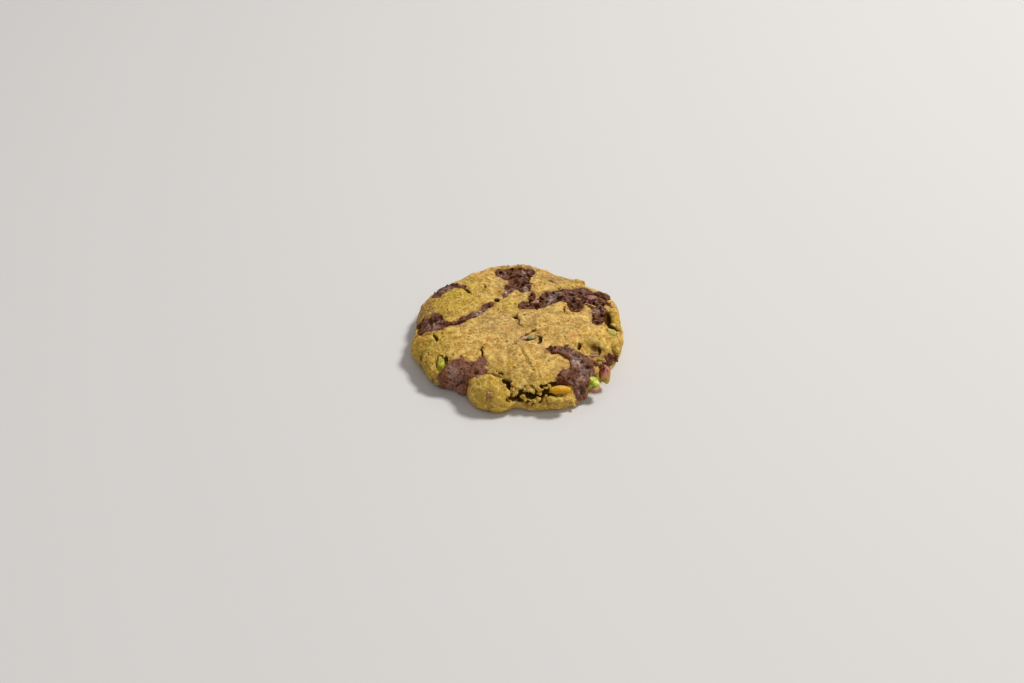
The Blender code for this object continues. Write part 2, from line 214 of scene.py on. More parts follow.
# Dough that lies over the chocolate: points, radius
DOUGH_STRANDS = {
    "strand over the band": ([(30.6, 10.0, 15.9), (33.0, 8.8, 16.0), (35.0, 7.6, 15.8)], 0.36),
    "strand behind the nut": ([(36.6, 15.2, 16.4), (39.0, 13.0, 16.0)], 0.45),
    "patch in the back chunk": ([(-0.6, 38.0, 16.9), (1.9, 38.4, 16.6)], 1.1),
    "crumb in the back chunk": ([(-2.2, 27.0, 17.3), (-1.6, 26.2, 17.4)], 0.5),
    "crumb at the streak": ([(-26.0, -3.2, 16.9), (-25.4, -3.0, 17.0)], 0.6),
    "nut mix lump": ([(35.0, -26.6, 12.6), (36.2, -25.6, 12.2)], 1.2),
    "nut mix lump low": ([(37.6, -27.6, 10.6), (38.2, -26.8, 10.6)], 1.0),
    "nut mix lump left": ([(33.0, -27.2, 12.6), (33.6, -26.4, 12.8)], 0.9),
    "overhang tooth": ([(13.0, -43.4, 11.8), (13.6, -44.2, 11.0)], 0.7),
    "overhang tooth left": ([(3.6, -44.0, 11.0), (5.4, -44.6, 10.2)], 0.7),
    "overhang tooth middle": ([(8.0, -44.2, 11.2), (9.4, -45.0, 10.4)], 0.8),
    "front of the golden kernel": ([(13.6, -47.8, 7.6), (17.6, -48.2, 7.2), (21.6, -46.8, 7.4)], 1.5),
    "rim behind the back chunk": (
        [(-6.4, 40.6, 14.0), (-1.0, 42.0, 13.8), (2.6, 42.0, 13.8), (8.0, 39.6, 14.0)], 1.7),
    "crumbs at the back edge": ([(26.0, 30.4, 13.6), (27.6, 30.6, 13.8), (30.2, 29.6, 13.6)], 1.2),
    "left lobe tip": ([(-36.4, -29.4, 9.0), (-34.2, -31.2, 8.0), (-34.6, -32.0, 5.0)], 1.8),
    "low right lump": ([(42.8, -15.4, 11.4), (43.2, -17.8, 10.4)], 2.0),
    "right piece ridge": ([(42.8, 8.4, 12.6), (44.0, 4.0, 12.0), (43.8, -0.6, 11.4)], 2.1),
    "right piece foot": ([(43.6, 1.4, 11.0), (44.2, -1.8, 10.4)], 2.2),
}

# Each chunk: how far it stands above the dough, size and depth of its folds, whether they are
# sharp, and the arms that its plain solid lacks: points, radius at the start, radius at the end
CHUNKS = {
    "chocolate_back": (-0.3, 2.7, 1.2, True, [
        ([(-8.6, 33.6, 16.6), (-3.0, 34.0, 17.0)], 1.6, 3.6),
        ([(3.0, 38.6, 16.4), (6.2, 35.4, 16.6)], 1.7, 1.6),
        ([(-1.0, 33.0, 17.0), (0.0, 25.0, 17.0)], 4.4, 3.6),
        ([(3.6, 31.0, 16.8), (4.6, 24.0, 16.8), (4.8, 20.6, 16.8)], 1.8, 0.9),
        ([(0.0, 25.0, 17.0), (1.2, 22.0, 17.0)], 3.0, 1.6),
        ([(-2.0, 23.0, 17.0), (-4.4, 18.0, 17.0), (-6.0, 15.2, 16.8)], 2.2, 1.0),
    ]),
    "chocolate_band": (-0.35, 2.7, 1.25, True, [
        ([(1.6, 5.8, 16.9), (6.0, 7.6, 17.0)], 0.7, 1.8),
        ([(5.6, 7.0, 17.0), (6.6, 12.4, 17.2), (7.6, 17.6, 16.8)], 1.1, 0.5),
        ([(7.0, 8.2, 17.0), (13.0, 11.6, 17.2), (19.0, 15.6, 17.0)], 2.2, 4.4),
        ([(12.6, 15.4, 17.0), (20.0, 18.8, 16.8), (30.0, 20.0, 16.2), (37.0, 19.6, 14.6)], 1.5, 4.0),
        ([(24.0, 13.0, 17.0), (27.0, 8.0, 17.0)], 4.0, 2.8),
        ([(27.0, 21.6, 15.8), (32.0, 23.4, 15.0), (38.4, 22.0, 13.4)], 1.6, 2.2),
        ([(22.0, 12.0, 17.0), (24.6, 6.6, 17.0), (27.4, 6.2, 17.0)], 2.2, 1.6),
        ([(30.0, 15.0, 16.8), (36.0, 8.0, 16.4)], 3.6, 3.0),
        ([(36.0, 8.0, 16.4), (35.8, 2.0, 16.2), (34.8, -4.2, 16.2)], 3.0, 1.7),
        ([(38.6, 19.8, 14.4), (41.9, 14.6, 13.2), (42.6, 10.6, 12.8)], 1.6, 0.5),
    ]),
    "chocolate_back_left": (-0.1, 2.7, 0.9, True, [
        ([(-37.6, 19.0, 14.8), (-33.0, 22.6, 15.4), (-28.0, 23.6, 15.8), (-24.4, 21.8, 16.4)], 0.8, 0.6),
    ]),
    "chocolate_left": (-0.15, 2.8, 1.05, True, [
        ([(-43.0, -5.2, 14.4), (-36.0, -5.8, 15.8)], 2.4, 4.4),
        ([(-36.6, -0.4, 15.8), (-34.4, -1.0, 15.8)], 1.2, 1.2),
        ([(-33.0, -6.4, 16.0), (-28.6, -5.6, 16.6), (-23.4, -3.0, 16.6)], 2.6, 0.8),
        ([(-23.4, -3.0, 16.6), (-19.4, 0.4, 16.6), (-17.6, 3.2, 16.8)], 0.7, 1.5),
        ([(-17.6, 3.2, 16.8), (-15.2, 5.6, 16.8), (-13.9, 6.2, 16.8)], 1.4, 0.4),
        ([(-16.2, 7.4, 16.8), (-13.3, 8.8, 16.8)], 0.3, 0.7),
        ([(-13.3, 8.8, 16.8), (-10.6, 10.0, 16.8)], 0.7, 0.3),
    ]),
    "chocolate_front_left": (0.25, 4.0, 0.7, False, [
        ([(-24.3, -33.4, 15.4), (-24.3, -28.2, 15.2)], 1.3, 0.5),
        ([(-20.4, -34.8, 15.8), (-15.0, -31.4, 16.2)], 1.1, 0.3),
        ([(-18.0, -37.4, 15.0), (-13.9, -38.0, 15.0)], 2.2, 0.8),
        ([(-28.4, -34.6, 12.0), (-28.8, -35.8, 5.0)], 1.7, 2.2),
        ([(-29.6, -34.6, 3.6), (-34.0, -32.6, 1.4)], 1.4, 0.5),
        ([(-25.0, -37.6, 9.0), (-24.0, -38.6, 5.2)], 4.2, 2.2),
    ]),
    "chocolate_front_right": (0.5, 2.7, 1.0, False, [
        ([(12.6, -23.8, 16.6), (18.0, -25.2, 16.4), (24.4, -27.6, 16.4)], 0.7, 2.6),
        ([(24.4, -27.6, 16.4), (29.0, -31.0, 15.0)], 2.6, 3.4),
        ([(21.6, -38.6, 14.0), (16.8, -40.9, 13.4)], 2.3, 0.9),
        ([(26.6, -39.0, 11.0), (25.8, -42.6, 5.4)], 3.6, 2.0),
        ([(30.4, -34.0, 13.0), (33.4, -34.6, 11.6), (35.4, -34.6, 11.0)], 3.4, 1.8),
        ([(31.0, -30.0, 14.6), (33.4, -29.0, 12.6)], 1.6, 1.0),
    ]),
    "chocolate_right_edge": (0.6, 2.6, 0.5, True, [([(39.4, -25.6, 11.0), (42.2, -22.6, 10.6)], 2.6, 2.0)]),
}

# Each kind of chocolate: dark and light colour, glossy and dull roughness, specular share, depth
# of its fine relief, and how strongly its painted shade of pits and painted light on crests show
CHOCOLATE_LOOKS = {
    "melted_chocolate": ((0.050, 0.011, 0.002), (0.130, 0.035, 0.010), 0.11, 0.66, 0.14, 0.26, 0.9),
    "soft_chocolate": ((0.095, 0.029, 0.011), (0.200, 0.074, 0.036), 0.12, 0.62, 0.17, 0.24, 0.85),
    "set_chocolate": ((0.215, 0.078, 0.038), (0.320, 0.130, 0.072), 0.34, 0.65, 0.14, 0.32, 0.8),
}
CHOCOLATE_KINDS = {"chocolate_front_left": "set_chocolate", "chocolate_front_right": "soft_chocolate"}

# Pits in the chunks: (x, y, spread, depth)
PITS = [
    (-1.4, 27.6, 0.9, 1.7), (-2.3, 25.5, 0.9, 1.5), (0.0, 23.7, 0.8, 1.4), (-4.0, 33.4, 0.9, 1.3),
    (4.0, 36.6, 0.8, 1.3), (-8.1, 35.6, 0.7, 1.2), (0.9, 30.8, 0.8, 1.2), (8.6, 13.4, 0.6, 1.2),
    (8.5, 10.6, 0.6, 1.2), (22.6, 11.8, 1.0, 1.5), (25.2, 6.2, 0.9, 1.6), (27.3, 7.0, 0.8, 1.2),
    (33.6, 10.2, 1.0, 1.7), (36.9, 7.6, 0.7, 1.3), (34.0, 2.3, 0.7, 1.3), (36.6, -0.9, 0.7, 1.3),
    (34.7, -4.2, 0.7, 1.3), (13.5, 8.4, 0.7, 1.2), (9.6, 7.0, 0.7, 1.0), (20.6, 13.7, 0.7, 1.1),
    (17.4, 10.8, 0.7, 1.1), (-31.7, -5.9, 0.8, 1.3), (-29.6, -6.0, 0.6, 1.1), (-36.3, -1.6, 0.7, 1.1),
    (-41.5, -4.2, 0.6, 0.8), (14.4, -25.2, 0.5, 0.8), (24.8, -29.2, 0.7, 1.2), (27.2, -30.2, 0.7, 1.1),
    (18.0, -26.0, 0.5, 0.9), (23.5, -42.0, 0.7, 1.1), (28.6, -39.2, 0.8, 1.0), (22.1, -38.4, 0.8, 0.9),
    (-17.4, -37.0, 0.8, 0.9), (-15.6, -34.7, 0.6, 0.7), (-34.0, 24.2, 0.8, 0.9), (-28.0, 24.4, 0.7, 0.9),
    (40.8, -24.6, 0.9, 1.2),
]

# Where the chunks are wet and glossy, and where a pale pink-white colour, partly fat bloom and partly
# painted highlight, is laid on them: (x, y, spread, strength)
GLOSS_AND_PAINTED_HIGHLIGHT_PLACES = [
    (15.2, 13.0, 1.4, 1.0), (17.4, 17.6, 1.4, 0.9), (14.1, 9.5, 1.1, 1.0), (36.5, 5.6, 1.2, 1.0),
    (38.4, 7.8, 1.0, 0.9), (33.7, 14.2, 1.3, 0.8), (24.3, 16.6, 1.6, 0.7), (24.6, -30.0, 1.7, 1.0),
    (26.4, -32.6, 1.5, 0.8), (31.1, -35.2, 1.1, 0.9), (27.6, -38.0, 1.2, 0.8), (25.1, -42.0, 1.1, 0.6),
    (-16.8, 2.9, 1.7, 1.3),
    (-38.7, -6.5, 1.6, 0.6), (-35.3, -3.9, 1.6, 0.7), (-5.2, 17.2, 1.2, 1.0), (3.1, 34.3, 1.2, 0.8),
    (-6.7, 34.2, 1.2, 0.8), (3.9, 21.6, 1.2, 0.9), (-2.6, 21.4, 1.2, 0.7), (-27.7, -33.4, 1.8, 0.9),
    (-25.0, -36.7, 1.4, 0.4), (-32.6, 24.0, 2.0, 0.9),
]

# Where the folded chunks are smooth: (x, y, spread, strength)
SMOOTH_PLACES = [
    (24, 21.4, 2.8, 1.0), (31, 22.8, 2.8, 0.9), (14, 17.6, 1.8, 0.7), (-40, -7, 3.0, 0.9),
    (3.0, 6.8, 2.0, 0.6), (-17, 3.2, 2.6, 1.2), (-32, 25, 3.0, 0.7), (4.0, 37.0, 2.0, 0.6),
    (-5.2, 17.2, 1.6, 1.0), (24.6, -30.0, 1.8, 0.8),
]

# Tinted places of the dough, and under shade the places of painted dark olive shade: (x, y, spread,
# strength)
TINTED_PLACES = {
    "green": [
        (-27, 10, 9, 1.0), (-3.6, 8, 3.0, 1.4), (-39, -15, 8, 0.9), (-33, 18, 6, 0.8),
        (43, 2, 4, 1.2), (26, 26, 5, 0.6), (-12, -46, 8, 0.8), (-20, 28, 7, 0.4), (36, -26, 3, 0.9),
        (34, -20, 5, 0.5), (44, -18, 4, 0.8), (12, -50, 9, 0.7), (-38, -30, 6, 0.5),
    ],
    "shade": [
        (34.0, -20.4, 2.5, 0.65), (37.6, -20.8, 1.6, 0.4), (30.6, -18.8, 1.6, 0.3),
        (2.4, -22.4, 1.6, 0.3), (-9.6, -36.2, 2.4, 0.4), (-5.0, -39.8, 2.0, 0.5), (42.4, -11.0, 1.2, 0.5),
    ],
    "stain": [
        (-41.4, 8, 2.2, 1.0), (-40.8, 13, 1.8, 0.9), (-38, 3, 1.8, 0.8), (-24.6, -6.9, 1.3, 0.7),
        (-29.3, 2.5, 1.0, 0.6), (-42.3, -20.4, 1.1, 1.0), (33.4, -25.2, 1.6, 1.0), (-12.2, -48.2, 1.2, 0.7),
        (-17.5, 14.9, 0.8, 0.7), (0.5, -18.6, 1.4, 0.6), (7.6, -1.2, 0.8, 0.6), (15, 28.6, 1.8, 0.6),
        (-6.4, -43.8, 0.9, 0.8), (25.4, 30.4, 1.2, 0.8), (17.0, 31.0, 4.0, 0.3), (12.2, -5.2, 0.6, 0.6),
    ],
    "orange": [
        (23.9, -15.8, 0.9, 0.9), (-12.7, -16.5, 0.9, 0.9), (-41.6, -12.0, 1.8, 0.7), (36, -28, 1.5, 0.6),
        (-4, -10, 2.4, 0.3), (14, -10, 2.4, 0.3), (10.6, -24.6, 1.2, 0.5), (45.4, 4, 1.2, 0.5),
    ],
    "pale": [
        (31.6, 3.4, 1.6, 1.0), (33.0, -3.4, 1.4, 0.8), (-7.0, 26.0, 2.4, 1.0), (-5.4, 21.0, 1.8, 0.9),
        (-4.0, -6.0, 9.0, 0.75), (6.4, 13.0, 2.4, 0.6), (19.0, 33.0, 6.0, 0.7), (20.0, -36.6, 3.0, 0.8),
        (22.0, -12.0, 4.0, 0.4), (-14.0, -5.0, 3.0, 0.4), (36, -26.0, 1.4, 0.6), (4.0, -40.0, 3.0, 0.5),
    ],
}


def bump(distance, spread):
    return np.exp(-0.5 * (distance / spread) ** 2)


def cell_corners(part):
    """The eight corners of a unit cell, and what each weighs at places in the cell."""
    for corner in range(8):
        step = np.array([corner & 1, (corner >> 1) & 1, corner >> 2])
        weight = np.ones(len(part), part.dtype)
        for axis in range(3):
            weight *= part[:, axis] if step[axis] else 1.0 - part[:, axis]
        yield step, weight


def lattice_noise(points, cell, seed):
    """Smooth random values from -1 to 1 at points, with one lattice step every cell."""
    size = 24
    table = np.random.default_rng(seed).uniform(-1.0, 1.0, (size, size, size)).astype(np.float32)
    q = points / cell
    base = np.floor(q).astype(np.int64)
    part = (q - base).astype(np.float32)
    part = part * part * (3.0 - 2.0 * part)
    value = np.zeros(len(points), np.float32)
    for step, weight in cell_corners(part):
        index = (base + step) % size
        value += weight * table[index[:, 0], index[:, 1], index[:, 2]]
    return value * 1.4


def layered_noise(points, cell, seed, layers=3, fall=0.5):
    value = np.zeros(len(points), np.float32)
    strength = 1.0
    for layer in range(layers):
        value += strength * lattice_noise(points, cell * 0.5**layer, seed + layer)
        strength *= fall
    return value


def soft_min(a, b, softness):
    h = np.clip(0.5 + 0.5 * (b - a) / softness, 0.0, 1.0)
    return b + (a - b) * h - softness * h * (1.0 - h)


def soft_max(a, b, softness):
    return -soft_min(-a, -b, softness)


class Block:
    """A box of voxels that holds signed distances, negative inside."""

    def __init__(self, low, high, voxel):
        self.voxel = voxel
        self.first = np.floor(np.array(low) / voxel).astype(int)
        self.count = np.ceil(np.array(high) / voxel).astype(int) - self.first + 1
        axes = [(self.first[i] + np.arange(self.count[i])) * voxel for i in range(3)]
        self.x = axes[0][:, None, None].astype(np.float32)
        self.y = axes[1][None, :, None].astype(np.float32)
        self.z = axes[2][None, None, :].astype(np.float32)
        self.field = np.full(tuple(self.count), BAND, np.float32)

    def points(self, mask):
        i, j, k = np.nonzero(mask)
        return np.stack([self.x[i, 0, 0], self.y[0, j, 0], self.z[0, 0, k]], -1)

    def solid(self, points, triangles, quads=None):
        """Signed distance to a closed mesh."""
        transform = openvdb.createLinearTransform(self.voxel)
        given = {"points": points.astype(np.float32), "transform": transform}
        if triangles is not None and len(triangles):
            given["triangles"] = triangles.astype(np.uint32)
        if quads is not None and len(quads):
            given["quads"] = quads.astype(np.uint32)
        grid = openvdb.FloatGrid.createLevelSetFromPolygons(halfWidth=BAND / self.voxel, **given)
        field = np.full(tuple(self.count), BAND, np.float32)
        grid.copyToArray(field, ijk=tuple(int(v) for v in self.first))
        return field

    def skin(self, field):
        """Vertices and quads of the surface where a field is zero."""
        grid = openvdb.FloatGrid(BAND)
        clipped = np.clip(field, -BAND, BAND).astype(np.float32)
        grid.copyFromArray(clipped, ijk=tuple(int(v) for v in self.first), tolerance=0.0)
        grid.transform = openvdb.createLinearTransform(self.voxel)
        points, quads = grid.convertToQuads(isovalue=0.0)
        return np.array(points, np.float64), np.array(quads, np.int64)

    def redistance(self, field):
        points, quads = self.skin(field)
        return self.solid(points, None, quads)

    def sample(self, field, points):
        """Values of a field between its voxels."""
        q = points / self.voxel - self.first
        base = np.clip(np.floor(q).astype(int), 0, self.count - 2)
        part = np.clip(q - base, 0.0, 1.0)
        value = np.zeros(len(points))
        for step, weight in cell_corners(part):
            index = base + step
            value += weight * field[index[:, 0], index[:, 1], index[:, 2]]
        return value

    def window(self, centre, reach):
        """Slices of the voxels within reach of a point."""
        low = np.floor((np.array(centre) - reach) / self.voxel).astype(int) - self.first
        high = np.ceil((np.array(centre) + reach) / self.voxel).astype(int) - self.first + 1
        low = np.clip(low, 0, self.count)
        high = np.clip(high, 0, self.count)
        return tuple(slice(low[i], high[i]) for i in range(3))

    def ball(self, lump, window=None):
        """Rough distance to an ellipsoid (x, y, z, half sizes, turn)."""
        cx, cy, cz, a, b, c, turn = lump[:7]
        w = window or (slice(None),) * 3
        dx = self.x[w[0]] - cx
        dy = self.y[:, w[1]] - cy
        dz = self.z[:, :, w[2]] - cz
        cos, sin = math.cos(math.radians(turn)), math.sin(math.radians(turn))
        u = (dx * cos + dy * sin) / a
        v = (-dx * sin + dy * cos) / b
        s = dz / c
        k0 = np.sqrt(u * u + v * v + s * s)
        k1 = np.sqrt((u / a) ** 2 + (v / b) ** 2 + (s / c) ** 2) + 1e-6
        return k0 * (k0 - 1.0) / k1


def blurred(field, reach):
    """Box blur along the three axes, twice."""
    out = field
    for _ in range(2):
        for axis in range(3):
            total = out.copy()
            for step in range(1, reach + 1):
                total += np.roll(out, step, axis) + np.roll(out, -step, axis)
            out = total / (2 * reach + 1)
    return out


def vertex_places(mesh):
    """Places of a mesh's vertices, in millimetres."""
    points = np.empty(3 * len(mesh.vertices))
    mesh.vertices.foreach_get("co", points)
    return points.reshape(-1, 3) / MM


def mesh_arrays(node):
    mesh = node.data
    mesh.calc_loop_triangles()
    corners = np.empty(3 * len(mesh.loop_triangles), np.int64)
    mesh.loop_triangles.foreach_get("vertices", corners)
    return vertex_places(mesh), corners.reshape(-1, 3)


def edge_radius(angle):
    r = np.full_like(angle, EDGE_RADIUS)
    for middle, spread, height in EDGE_LOBES.values():
        away = (angle - middle + 180.0) % 360.0 - 180.0
        r += height * bump(away, spread)
    return r


def plain_dough(block):
    """The lobed cookie without its pockets, as signed distances."""
    x = block.x - PLAN_SHIFT[0]
    y = block.y - PLAN_SHIFT[1]
    z = block.z
    r = edge_radius(np.degrees(np.arctan2(y, x)))
    rho = np.sqrt(x * x + y * y)
    swell = np.zeros_like(rho)
    for sx, sy, spread, height in TOP_SWELLS.values():
        swell += height * bump(np.sqrt((x - sx) ** 2 + (y - sy) ** 2), spread)
    rise = CROWN_HEIGHT - BULGE_HEIGHT + swell
    top = (rho / r) ** SHOULDER + np.clip((z - BULGE_HEIGHT) / rise, 0.0, 9.0) ** 2 - 1.0
    roll = np.clip((BULGE_HEIGHT - z) / BULGE_HEIGHT, 0.0, 1.0)
    rim = r - FOOT_INSET * (1.0 - np.sqrt(1.0 - roll**2))
    low = (rho / rim) ** SHOULDER - 1.0
    shape = np.where(z >= BULGE_HEIGHT, top, low).astype(np.float32)
    slope = np.sqrt(sum(g * g for g in np.gradient(shape, block.voxel))) + 1e-3
    field = np.clip(shape / slope, -BAND, BAND)
    for lump in DOUGH_LUMPS.values():
        placed = (lump[0] + PLAN_SHIFT[0], lump[1] + PLAN_SHIFT[1], *lump[2:])
        field = soft_min(field, block.ball(placed), lump[7])
    field = np.maximum(field, -z)
    return block.redistance(field)


def top_of(block, field):
    """Height of the top of a field over each column of voxels."""
    inside = field < 0.0
    any_inside = inside.any(2)
    last = field.shape[2] - 1 - np.argmax(inside[:, :, ::-1], 2)
    last = np.clip(last, 0, field.shape[2] - 2)
    i, j = np.indices(last.shape)
    a = field[i, j, last]
    b = field[i, j, last + 1]
    height = block.z[0, 0, last] + block.voxel * np.clip(-a / (b - a + 1e-6), 0.0, 1.0)
    return np.where(any_inside, height, 0.0)


def on_top(block, height, x, y):
    i = int(round((x - block.first[0] * block.voxel) / block.voxel))
    j = int(round((y - block.first[1] * block.voxel) / block.voxel))
    i = min(max(i, 0), height.shape[0] - 1)
    j = min(max(j, 0), height.shape[1] - 1)
    return float(height[i, j])


def walk(points, step):
    """Points every step along a broken line, with how far along each one is, from 0 to 1."""
    points = [np.array(p, float) for p in points]
    lengths = [np.linalg.norm(b - a) for a, b in zip(points, points[1:])]
    total = sum(lengths)
    done = 0.0
    out = []
    for a, b, length in zip(points, points[1:], lengths):
        count = max(1, int(math.ceil(length / step)))
        for i in range(count):
            t = i / count
            out.append((a + (b - a) * t, (done + length * t) / total))
        done += length
    out.append((points[-1], 1.0))
    return out


def cut_crack(block, field, height, line, half_width, depth, seed):
    """A ragged groove in the top along a broken line in plan, narrow at both ends."""
    rng = np.random.default_rng(seed)
    side = 0.0
    for point, along in walk(line, 0.3):
        side = 0.7 * side + 0.3 * rng.uniform(-1.0, 1.0)
        x = point[0] + side * 0.8
        y = point[1] + side * 0.8
        z = on_top(block, height, x, y)
        taper = math.sqrt(max(0.05, math.sin(math.pi * min(max(along, 0.04), 0.96))))
        width = half_width * taper * rng.uniform(0.65, 1.3)
        lump = (x, y, z, width, width, depth * taper, 0)
        w = block.window((x, y, z), depth + 1.5)
        field[w] = soft_max(field[w], -block.ball(lump, w), 0.2)


def line_distance(points, line, start_radius, end_radius):
    """Distance to a broken line in space that thickens evenly from its start to its end."""
    best = np.full(len(points), 1e3)
    line = [np.array(p, float) for p in line]
    lengths = [np.linalg.norm(b - a) for a, b in zip(line, line[1:])]
    done = 0.0
    for a, b, length in zip(line, line[1:], lengths):
        along = np.clip((points - a) @ (b - a) / length**2, 0.0, 1.0)
        away = np.linalg.norm(points - a - along[:, None] * (b - a), axis=1)
        share = (done + along * length) / sum(lengths)
        best = np.minimum(best, away - start_radius - (end_radius - start_radius) * share)
        done += length
    return best


class Shell:
    """The voxels near the dough's outer surface, and for each the place just under the surface."""

    def __init__(self, block, plain, reach):
        self.mask = (np.abs(plain) < reach) & (block.z > 0.05)
        self.spots = block.points(self.mask)
        self.over = plain[self.mask]
        slopes = np.stack([g[self.mask] for g in np.gradient(plain, block.voxel)], -1)
        slopes /= np.linalg.norm(slopes, axis=1, keepdims=True) + 1e-6
        self.under = self.spots - slopes * (self.over + FOOTPRINT_DEPTH)[:, None]

    def near(self, low, high):
        return np.all((self.under > low) & (self.under < high), axis=1)

    def filled(self, block, pick, value):
        """Distances at picked shell voxels, as a list for the whole shell and as a field."""
        row = np.full(len(self.over), BAND, np.float32)
        row[pick] = np.clip(value, -BAND, BAND)
        field = np.full(tuple(block.count), BAND, np.float32)
        field[self.mask] = row
        return row, field


def settle(block, plain, slopes, point):
    """Moves a point to the even depth under the dough's surface."""
    point = np.array([point], float)
    for _ in range(3):
        over = block.sample(plain, point)
        normal = np.stack([block.sample(g, point) for g in slopes], -1)
        normal /= np.linalg.norm(normal, axis=1, keepdims=True) + 1e-6
        point = point - normal * (over + FOOTPRINT_DEPTH)[:, None]
    return tuple(point[0])


def faces_out(points, quads):
    """True if the quads already turn outwards."""
    a, b, c, d = (points[quads[:, i]] for i in range(4))
    volume = np.einsum("ij,ij->i", a, np.cross(b, c)).sum()
    volume += np.einsum("ij,ij->i", a, np.cross(c, d)).sum()
    return volume > 0.0


def largest_piece(points, quads):
    """The biggest connected part of a skin, without the loose scraps."""
    label = np.arange(len(points))
    while True:
        before = label.copy()
        lowest = label[quads].min(1)
        for i in range(4):
            np.minimum.at(label, quads[:, i], lowest)
        label = label[label]
        if np.array_equal(before, label):
            break
    names, counts = np.unique(label[quads[:, 0]], return_counts=True)
    keep = label[quads[:, 0]] == names[np.argmax(counts)]
    quads = quads[keep]
    used = np.unique(quads)
    index = np.full(len(points), -1)
    index[used] = np.arange(len(used))
    return points[used], index[quads]


def skin_mesh(name, block, field):
    """The surface of a field as a mesh in metres that turns outwards, and its points."""
    points, quads = largest_piece(*block.skin(field))
    if not faces_out(points, quads):
        quads = quads[:, ::-1]
    mesh = bpy.data.meshes.new(name)
    mesh.vertices.add(len(points))
    mesh.vertices.foreach_set("co", (points * MM).astype(np.float32).ravel())
    mesh.loops.add(quads.size)
    mesh.loops.foreach_set("vertex_index", quads.astype(np.int32).ravel())
    mesh.polygons.add(len(quads))
    mesh.polygons.foreach_set("loop_start", np.arange(0, quads.size, 4, dtype=np.int32))
    mesh.update(calc_edges=True)
    mesh.validate()
    return mesh, points


def add_attribute(mesh, name, values):
    layer = mesh.attributes.new(name, "FLOAT", "POINT")
    layer.data.foreach_set("value", np.asarray(values, np.float32))


def in_scene(name, data):
    thing = bpy.data.objects.new(name, data)
    bpy.context.scene.collection.objects.link(thing)
    return thing


def close_flat_foot(mesh, level):
    """Replaces the many small faces of the flat underside with a few long triangles."""
    bm = bmesh.new()
    bm.from_mesh(mesh)
    flat = [f for f in bm.faces if all(v.co.z < level * MM for v in f.verts)]
    bmesh.ops.delete(bm, geom=flat, context="FACES")
    rim = [e for e in bm.edges if e.is_boundary]
    for edge in rim:
        for v in edge.verts:
            v.co.z = 0.0
    made = bmesh.ops.triangle_fill(bm, edges=rim, use_beauty=True, normal=(0.0, 0.0, -1.0))
    for face in [g for g in made["geom"] if isinstance(g, bmesh.types.BMFace)]:
        face.normal_update()
        if face.normal.z > 0.0:
            face.normal_flip()
    bm.to_mesh(mesh)
    bm.free()


def taken_out(holder):
    """The mesh that an object's modifiers give; the object itself goes away."""
    seen = holder.evaluated_get(bpy.context.evaluated_depsgraph_get())
    mesh = bpy.data.meshes.new_from_object(seen)
    bpy.data.objects.remove(holder)
    return mesh


def thinned(mesh, most_triangles):
    """The same skin with fewer triangles, kept where the surface bends most."""
    mesh.calc_loop_triangles()
    holder = in_scene("thinning", mesh)
    modifier = holder.modifiers.new("thin", "DECIMATE")
    modifier.ratio = most_triangles / len(mesh.loop_triangles)
    modifier.use_collapse_triangulate = True
    return taken_out(holder)


def new_piece(name, mesh, look, *nodes, slot):
    """A visible piece; look is None where the mesh has its material, nodes are what it replaces."""
    piece = in_scene(name, mesh)
    if look:
        mesh.materials.append(look)
    mesh.shade_smooth()
    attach(piece, "root")
    if nodes:
        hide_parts(*nodes)


class Nodes:
    """Short ways to lay out a tree of nodes."""

    def __init__(self, tree):
        self.tree = tree
        self.place = None

    def add(self, kind, inputs=(), **settings):
        """A node with its settings, and with its inputs set or wired."""
        node = self.tree.nodes.new(kind)
        for key, value in settings.items():
            setattr(node, key, value)
        for label, source in dict(inputs).items():
            self.wire(source, node.inputs[label])
        return node

    def wire(self, source, target):
        if isinstance(source, (int, float, tuple, str)):
            target.default_value = source
        else:
            self.tree.links.new(source, target)

    def socket(self, label, kind, value=None, way="INPUT"):
        """Adds a named input or output to a node group."""
        made = self.tree.interface.new_socket(label, in_out=way, socket_type="NodeSocket" + kind)
        if value is not None:
            made.default_value = value

    def sum(self, operation, a, b):
        return self.add("ShaderNodeMath", {0: a, 1: b}, operation=operation).outputs[0]

    def ramp(self, source, low, high):
        """0 below low, 1 above high, smooth between."""
        inputs = {"Value": source, "From Min": low, "From Max": high}
        return self.add("ShaderNodeMapRange", inputs, interpolation_type="SMOOTHSTEP").outputs["Result"]

    def noise(self, size, detail, rough, distort):
        inputs = {"Vector": self.place, "Scale": self.sum("DIVIDE", 1.0 / MM, size),
                  "Detail": detail, "Roughness": rough, "Distortion": distort}
        return self.add("ShaderNodeTexNoise", inputs).outputs["Fac"]


class ShaderGroup(Nodes):
    """A group of shader nodes with a Place and named numbers going in, and one output."""

    def __init__(self, name, output, kind, **numbers):
        super().__init__(bpy.data.node_groups.new(name, "ShaderNodeTree"))
        self.socket("Place", "Vector")
        for label, value in numbers.items():
            self.socket(label.replace("_", " "), "Float", value)
        self.socket(output, kind, way="OUTPUT")
        self.given = self.add("NodeGroupInput").outputs
        self.out = self.add("NodeGroupOutput").inputs[output]
        self.place = self.given["Place"]


def uneven_patches():
    """Random patches: 0 where the noise is at Low or beyond, Amount where it is at High or beyond."""
    n = ShaderGroup("uneven_patches", "Mask", "Float", Size=3.0, Detail=3.0, Roughness=0.55,
                    Distortion=0.0, Low=0.4, High=0.6, Amount=1.0)
    given = n.given
    noise = n.noise(given["Size"], given["Detail"], given["Roughness"], given["Distortion"])
    mask = n.ramp(noise, given["Low"], given["High"])
    n.wire(n.sum("MULTIPLY", mask, given["Amount"]), n.out)
    return n.tree


